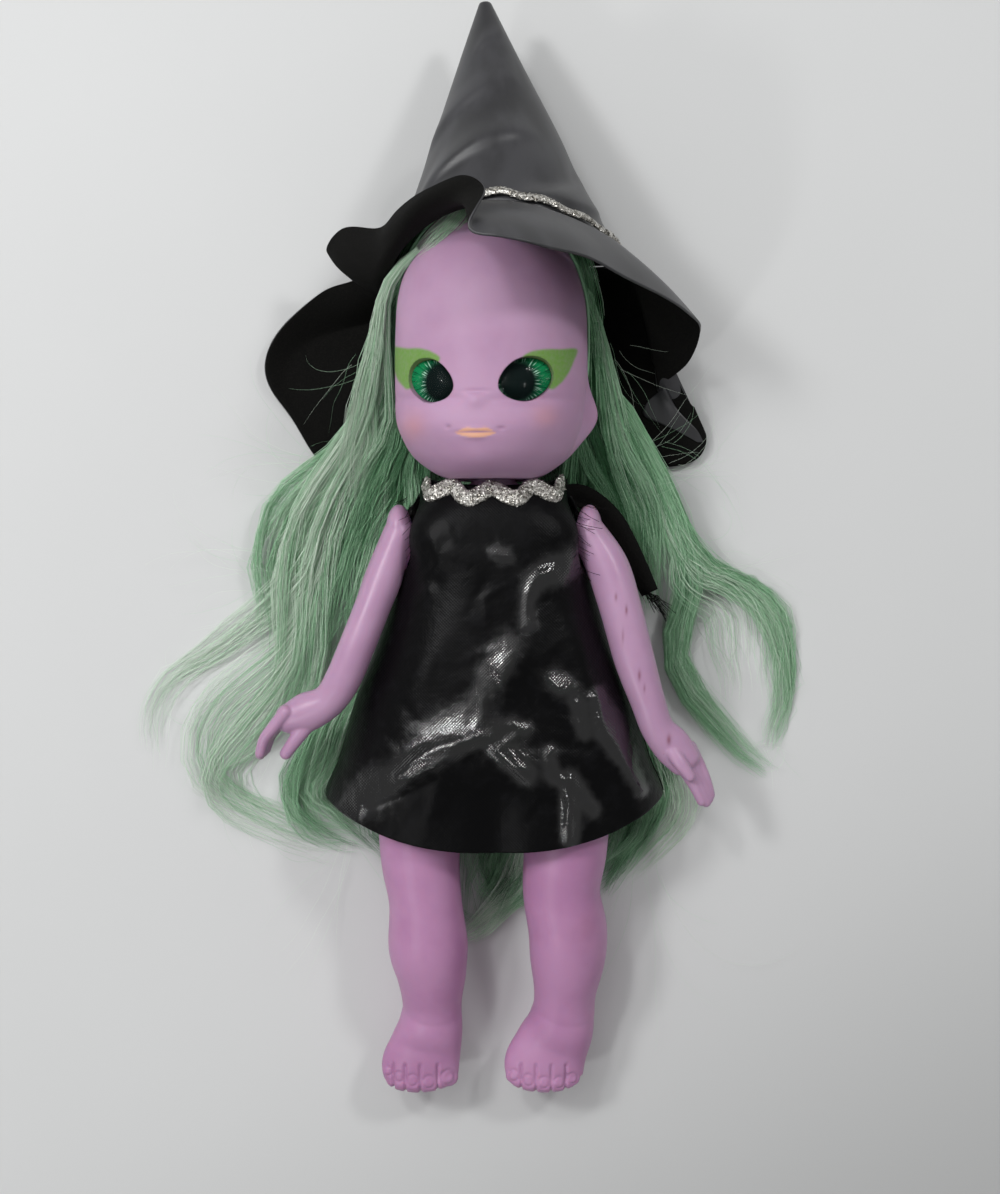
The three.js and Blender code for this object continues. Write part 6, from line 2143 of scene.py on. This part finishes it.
    def build(self, head: Head) -> None:
        """All the hair, each piece on the body that carries it."""
        lines, widths, tones = self.cap_lines(head, 90)
        cap = guide_object("hair_cap_strands", lines, width=widths, tone=tones)
        grow(
            cap, self.tree, Strands=12, Points=12, Wave=1.2 * MM, Frizz=0.4 * MM, Thickness=0.12 * MM,
            Shortest=0.8, Lift=0.12, Floor=0.3 * MM, Seed=SEED + 41, Material=self.fibre,
        )
        dress_piece(cap, "head", "hair", "hair_cap")
        self.build_roots(head)
        for seed, side in enumerate(Side):
            self.build_side(head, side, seed)
        under = self.strands("hair_back_strands", self.under, 30, points=14, shortest=0.86)
        points = points_of(under)
        floor, share = self.ceiling
        points[:, 2] = np.where(points[:, 2] > floor, floor + share * (points[:, 2] - floor), points[:, 2])
        set_points(under, points)
        dress_piece(under, "torso", "hair", "hair_back")
        dress_piece(self.stray("hair_wisps", self.wisps, 34), "torso", "hair")
        dress_piece(self.stray("head_wisps", self.head_wisps, 35), "head", "hair")

    def build_side(self, head: Head, side: Side, seed: int) -> None:
        """The front locks, the fall and the loose loops of one side.

        Args:
            head: the head that they grow from.
            side: which side.
            seed: added to the seeds of the pieces.
        """
        name = side.label
        locks = self.front[side] if side is Side.LEFT else (self.on_scalp(head, self.fringe),
                                                            *self.front[side])
        lock = self.strands(f"front_lock_{name}_strands", locks, 10 + seed, wave=3.0, frizz=1.2,
                            shortest=0.45)
        lock_bend, fall_bend = (np.array(bend) * (side.value, 1, 1) for bend in (self.lock_bend,
                                                                                 self.fall_bend))
        blend_piece(lock, ("head", "torso"), lock_bend, "hair", f"front_lock_{name}")
        fall = self.strands(f"hair_fall_{name}_strands", self.falls[side], 20 + seed, points=14, wave=5.0,
                            frizz=1.7)
        blend_piece(fall, ("head", "torso"), fall_bend, "hair", f"hair_fall_{name}")
        x, y, _ = points_of(fall).T
        across, along = self.fall_reach
        near = smoothstep(*along, y) * (1 - smoothstep(*across, np.abs(x)))
        set_attribute(fall, "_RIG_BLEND", 1 - near)
        loop = self.strands(
            f"hair_loops_{name}", self.loops[side], 24 + seed, points=18, fill=self.loop_fill[side],
            wave=7.5, frizz=1.8,
        )
        dress_piece(loop, "torso", "hair")


@dataclass
class Frays:
    """Black thread ends along the raw edges of the dress."""

    tree: Tree
    thread: Material
    thickness: float = 0.075
    length: float = 7.0
    # the end of the left flap
    flap_end: Rows = ((34.6, 2.6, 12.0), (37, 1, 11.8), (39, 0.4, 11.6))

    def line(
        self, name: str, points: Array, lean: Spot, count: int, length: float, stray: float, seed: int
    ) -> None:
        """Threads along one line.

        Args:
            name: the piece's name.
            points: the line.
            lean: which way they lean.
            count: how many they are.
            length: the longest thread, in millimetres.
            stray: how far they differ from their lean.
            seed: the piece's own seed.
        """
        obj = guide_object(name, [points], lean=[np.broadcast_to(lean, points.shape)])
        grow(
            obj, self.tree, Threads=count, Length=length * MM, Thickness=self.thickness * MM, Stray=stray,
            Seed=SEED + seed, Material=self.thread,
        )
        dress_piece(obj, "torso", "dress_vinyl")

    def build(self, dress: Dress) -> None:
        """The threads at the armholes and at the end of the left flap."""
        turn = np.linspace(math.radians(-20), math.radians(150), 30)
        for side in Side:
            y = dress.armhole_y + dress.armhole_radius * np.cos(turn)
            z = dress.armhole_z + dress.armhole_radius * np.sin(turn) / dress.armhole_squeeze
            x = side.value * np.interp(z, [16, 22, 30], [20.6, 20.2, 17.4])
            points = np.stack([x, y, z], -1)
            lean = (side.value * 0.75, -0.75, 0.25)
            count, length = (46, self.length) if side is Side.LEFT else (24, 4.6)
            self.line(f"armhole_threads_{side.label}", points, lean, count, length, 0.45, 50 + side.value)
        self.line("flap_threads", smooth_rows(self.flap_end, 16), (0.4, -0.9, 0.05), 64, self.length, 0.35,
                  60)


@dataclass
class Studio:
    """The pale table, the soft lamps and the camera straight above."""

    lens: float = 55.48
    sensor: float = 36.0
    table: Color = srgb(211, 212, 212)
    lamp_reach: Pair = (260.0, 900.0)  # where the table leaves the lamps' light
    room_level: float = 0.62  # how bright the table glows beyond it, as painted light, and how bright the room looks
    sky_level: float = 0.3  # how bright the room is as a light
    table_half: float = 4000.0
    # each lamp's name, place, size and power
    lamps: tuple[tuple[str, Spot, float, float], ...] = (
        ("sky_lamp", (-330, 300, 700), 620, 1.5), ("window_lamp", (-470, 260, 620), 120, 1.8),
        ("room_lamp", (430, 400, 620), 110, 1.5), ("desk_lamp", (-380, -340, 540), 70, 0.6),
        ("shelf_lamp", (-250, 390, 640), 80, 0.8),
    )

    def build_table(self) -> None:
        """A wide flat table under the doll, with a painted shadow that darkens it towards the doll's feet and
        left side, and a painted glow beyond the lamps' reach.
        """
        recipe = Recipe("table_top")
        at = recipe.place()
        split = recipe.add("ShaderNodeSeparateXYZ", Vector=at)
        # painted shadow: the table darkens towards the doll's feet and left side
        near = recipe.math("SUBTRACT", recipe.times(split.outputs["X"], 0.5), split.outputs["Y"])
        color = recipe.mix(recipe.noise(at, 0.012, 3), self.table, tuple(0.95 * c for c in self.table))
        darker = tuple(0.67 * c for c in self.table)
        recipe.surface(Base_Color=recipe.mix(recipe.ramp(near, 75.0, 260.0), color, darker), Roughness=0.6)
        # painted light: beyond the lamps' reach the table glows for the camera and in reflections
        away = recipe.add("ShaderNodeVectorMath", {"operation": "LENGTH"}, {0: at})
        far = recipe.ramp(away.outputs["Value"], *self.lamp_reach)
        rays = recipe.add("ShaderNodeLightPath")
        seen = recipe.math("MAXIMUM", rays.outputs["Is Camera Ray"], rays.outputs["Is Transmission Ray"])
        seen = recipe.math("MAXIMUM", seen, rays.outputs["Is Glossy Ray"])
        glow = recipe.times(recipe.times(far, seen), self.room_level)
        recipe.surface(Emission_Color=self.table, Emission_Strength=glow)
        corners = np.array([(-1, -1, 0), (1, -1, 0), (1, 1, 0), (-1, 1, 0)]) * self.table_half
        make_object("table_top", Shell(corners, [(0, 1, 2, 3)]), recipe.material)

    def lamp(self, name: str, at: Sequence[float], size: float, power: float) -> None:
        """A square soft lamp that shines at the doll.

        Args:
            name: the lamp's name.
            at: its place.
            size: its side, in millimetres.
            power: its power in watts.
        """
        data = bpy.data.lights.new(name, "AREA")
        data.size, data.energy = size * MM, power
        lamp = link_object(name, data)
        place = Vector(to_metres(np.asarray(at, float)))
        lamp.location = place
        target = Vector(to_metres(np.array([0, 0, 10.0])))
        lamp.rotation_euler = (target - place).to_track_quat("-Z", "Y").to_euler()

    def build(self) -> None:
        """The table, the lamps, the sky and the camera."""
        self.build_table()
        for lamp in self.lamps:
            self.lamp(*lamp)
        world = bpy.data.worlds.new("room")
        world.use_nodes = True
        sky = Nodes(world.node_tree)
        background = sky.tree.nodes["Background"]
        rays = sky.add("ShaderNodeLightPath").outputs["Is Camera Ray"]
        level = sky.add("ShaderNodeMapRange", To_Min=self.sky_level, To_Max=self.room_level, Value=rays)
        sky.feed(background, "Color", (1, 1, 1))
        sky.feed(background, "Strength", level.outputs["Result"])
        scene = bpy.context.scene
        scene.world = world
        scene.view_settings.view_transform = "Standard"
        data = bpy.data.cameras.new("photo_camera")
        data.lens, data.sensor_width = self.lens, self.sensor
        scene.camera = link_object("photo_camera", data)
        scene.camera.location = Vector(to_metres(np.array([CAMERA_X, 0, CAMERA_HEIGHT])))


SKIN = SkinVinyl("lilac_vinyl", srgb(184, 147, 178), srgb(176, 138, 170))
LEG_SKIN = SkinVinyl("leg_vinyl", srgb(184, 135, 174), srgb(172, 122, 162), roughness=0.42)

ARMS = (
    Arm(
        Side.LEFT,
        (
            (3.2, -0.8, 0, 4.0, 5.7), (7.6, -9, 1.5, 5, 5.4), (10.7, -19, 2.5, 4.9, 5.1),
            (13.8, -30.6, 2.5, 4.7, 4.8), (16.8, -39.8, 2, 4.1, 4.3), (19.2, -46.4, 1.5, 3.9, 3.8),
            (22.6, -50.6, 1.2, 4.5, 3.2), (25.8, -54.4, 0.5, 3.9, 2.8),
        ),
        ((21, -49.5, 2.4, 1.8, 1.6), (24, -54, 3.8, 1.7, 1.5), (26.6, -57.6, 3.6, 1.3, 1.3)),
        (27, -55.4, 0.4), (4.2, -8.6, -0.8), (3.6, 1.4, -2.4), (0.5, 0.3, 0.3),
        marks=(
            Bump(28, 0, 0.3, 0.9, 0.7), Bump(30.4, -3, 0.3, 1.1, 0.8), Bump(29.6, -9, 0.25, 1.6, 0.5),
            Bump(33.4, -18, 0.35, 1.2, 0.8), Bump(34.6, -21, 0.25, 1.0, 0.6), Bump(40.4, -33, 0.5, 1.2, 0.8),
        ),
    ),
    Arm(
        Side.RIGHT,
        (
            (3.2, -1.2, 0, 3.9, 5.7), (6.7, -11, 1.5, 4.4, 5.2), (9.3, -18, 2.5, 4.2, 5),
            (12.8, -27, 3, 4.2, 4.7), (16.3, -35.2, 2.5, 4.2, 4.4), (19.8, -40.2, 1.8, 4.0, 3.9),
            (25, -42.9, 1, 4.6, 3.5), (29.2, -44.4, 0.2, 3.5, 3.3),
        ),
        ((24, -44.8, 1.4, 2.0, 1.8), (27.2, -49, 1.4, 1.7, 1.6), (29.8, -52.6, 1, 1.4, 1.4)),
        (31, -45.6, 0), (4.8, -7.4, -1), (-1.2, 0.6, -5), (1.6, 0.9, 0),
    ),
)
LEGS = (
    Leg(
        Side.LEFT,
        (
            (16.1, 0.02, 18, 9, 10.4), (17.4, 0.2, 17.4, 9.6, 10), (16.8, 0.33, 16.8, 9.8, 9.8),
            (15.9, 0.45, 16, 9.1, 9.2), (17.4, 0.56, 15, 9.3, 9.5), (17.4, 0.645, 13.4, 8.9, 9),
            (16.9, 0.742, 11.2, 7.4, 7.9), (16.6, 0.8, 10.2, 7.4, 7.5),
        ),
        ((16.6, -98.5, 10, 7.4, 7.4), (15.6, -103, 10, 8.2, 7.2), (13.6, -107.5, 9.9, 8.9, 5.8),
         (11.9, -112, 10.5, 9.6, 4.5), (11.7, -115, 11, 8.3, 3.5)),
        ((4.6, -116.1, 2.3), (8.1, -117.0, 2.3), (11.8, -117.5, 2.3), (15.4, -117.6, 2.3),
         (18.7, -116.6, 2.2)),
        marks=(Bump(20, -78, 4, 5, 0.16), Bump(22, -76, 2, 3, 0.14)),
    ),
    Leg(
        Side.RIGHT,
        (
            (16.1, 0.02, 18, 9, 10.4), (17.5, 0.2, 17.4, 9.6, 10), (17.4, 0.353, 16.6, 9.3, 9.6),
            (16.2, 0.478, 15.8, 8.6, 9.1), (15.6, 0.603, 14.4, 9.4, 9.5), (14.9, 0.687, 12.6, 8.3, 8.7),
            (14.8, 0.756, 10.9, 7.2, 7.9), (14.8, 0.8, 10.2, 7.0, 7.5),
        ),
        ((14.8, -98.5, 10, 7.1, 7.4), (15.3, -103, 10, 7.8, 7.2), (16.4, -107.5, 9.9, 8.6, 5.8),
         (17.6, -112, 10.5, 9.3, 4.5), (17.6, -115, 11, 8.2, 3.5)),
        ((10.9, -117.1, 2.9), (15.4, -117.6, 2.5), (19.3, -116.9, 2.3), (22.6, -115.9, 2.0),
         (25.2, -114.4, 1.7)),
    ),
)


def main() -> None:
    """Builds the doll on its frame, sub-assembly by sub-assembly."""
    logging.basicConfig(level=logging.INFO, format="%(name)s: %(message)s")
    Studio().build()
    skin = SKIN.build()
    cloth = PatentCloth("patent_cloth").build()
    lining = Lining("dress_lining").build()
    braid = GlitterBraid("silver_braid").build()
    vinyl = HatVinyl("hat_vinyl").build()
    fibre = HairFibre("hair_fibre").build()
    wire = PlainFinish("hook_wire", srgb(150, 150, 155), 0.35, 1.0).build()
    flakes = flake_tree()
    Torso().build(skin)
    for arm in ARMS:
        arm.build(skin)
    leg_skin = LEG_SKIN.build()
    for leg in LEGS:
        leg.build(leg_skin)
    head = Head()
    head.build_shell(FacePrint("face_vinyl", SKIN.base, SKIN.shade, roughness=0.58).build())
    cup = PlainFinish("eye_cup_plastic", srgb(18, 30, 24), 0.4).build()
    head.build_eyes(ClearDome("eye_dome").build(), IrisPrint("iris_print").build(), cup)
    dress = Dress()
    dress.build(cloth, lining, wire)
    dress.build_trim(braid, flakes)
    Frays(fray_tree(), Lining("black_thread").build()).build(dress)
    hat = Hat()
    hat.build_cone(vinyl, lining)
    hat.build_brim(vinyl, Lining("hat_lining").build())
    hat.build_trim(braid, flakes)
    Hair(strand_tree(), fibre).build(head)
    bpy.context.view_layer.update()


if __name__ == "__main__":
    main()
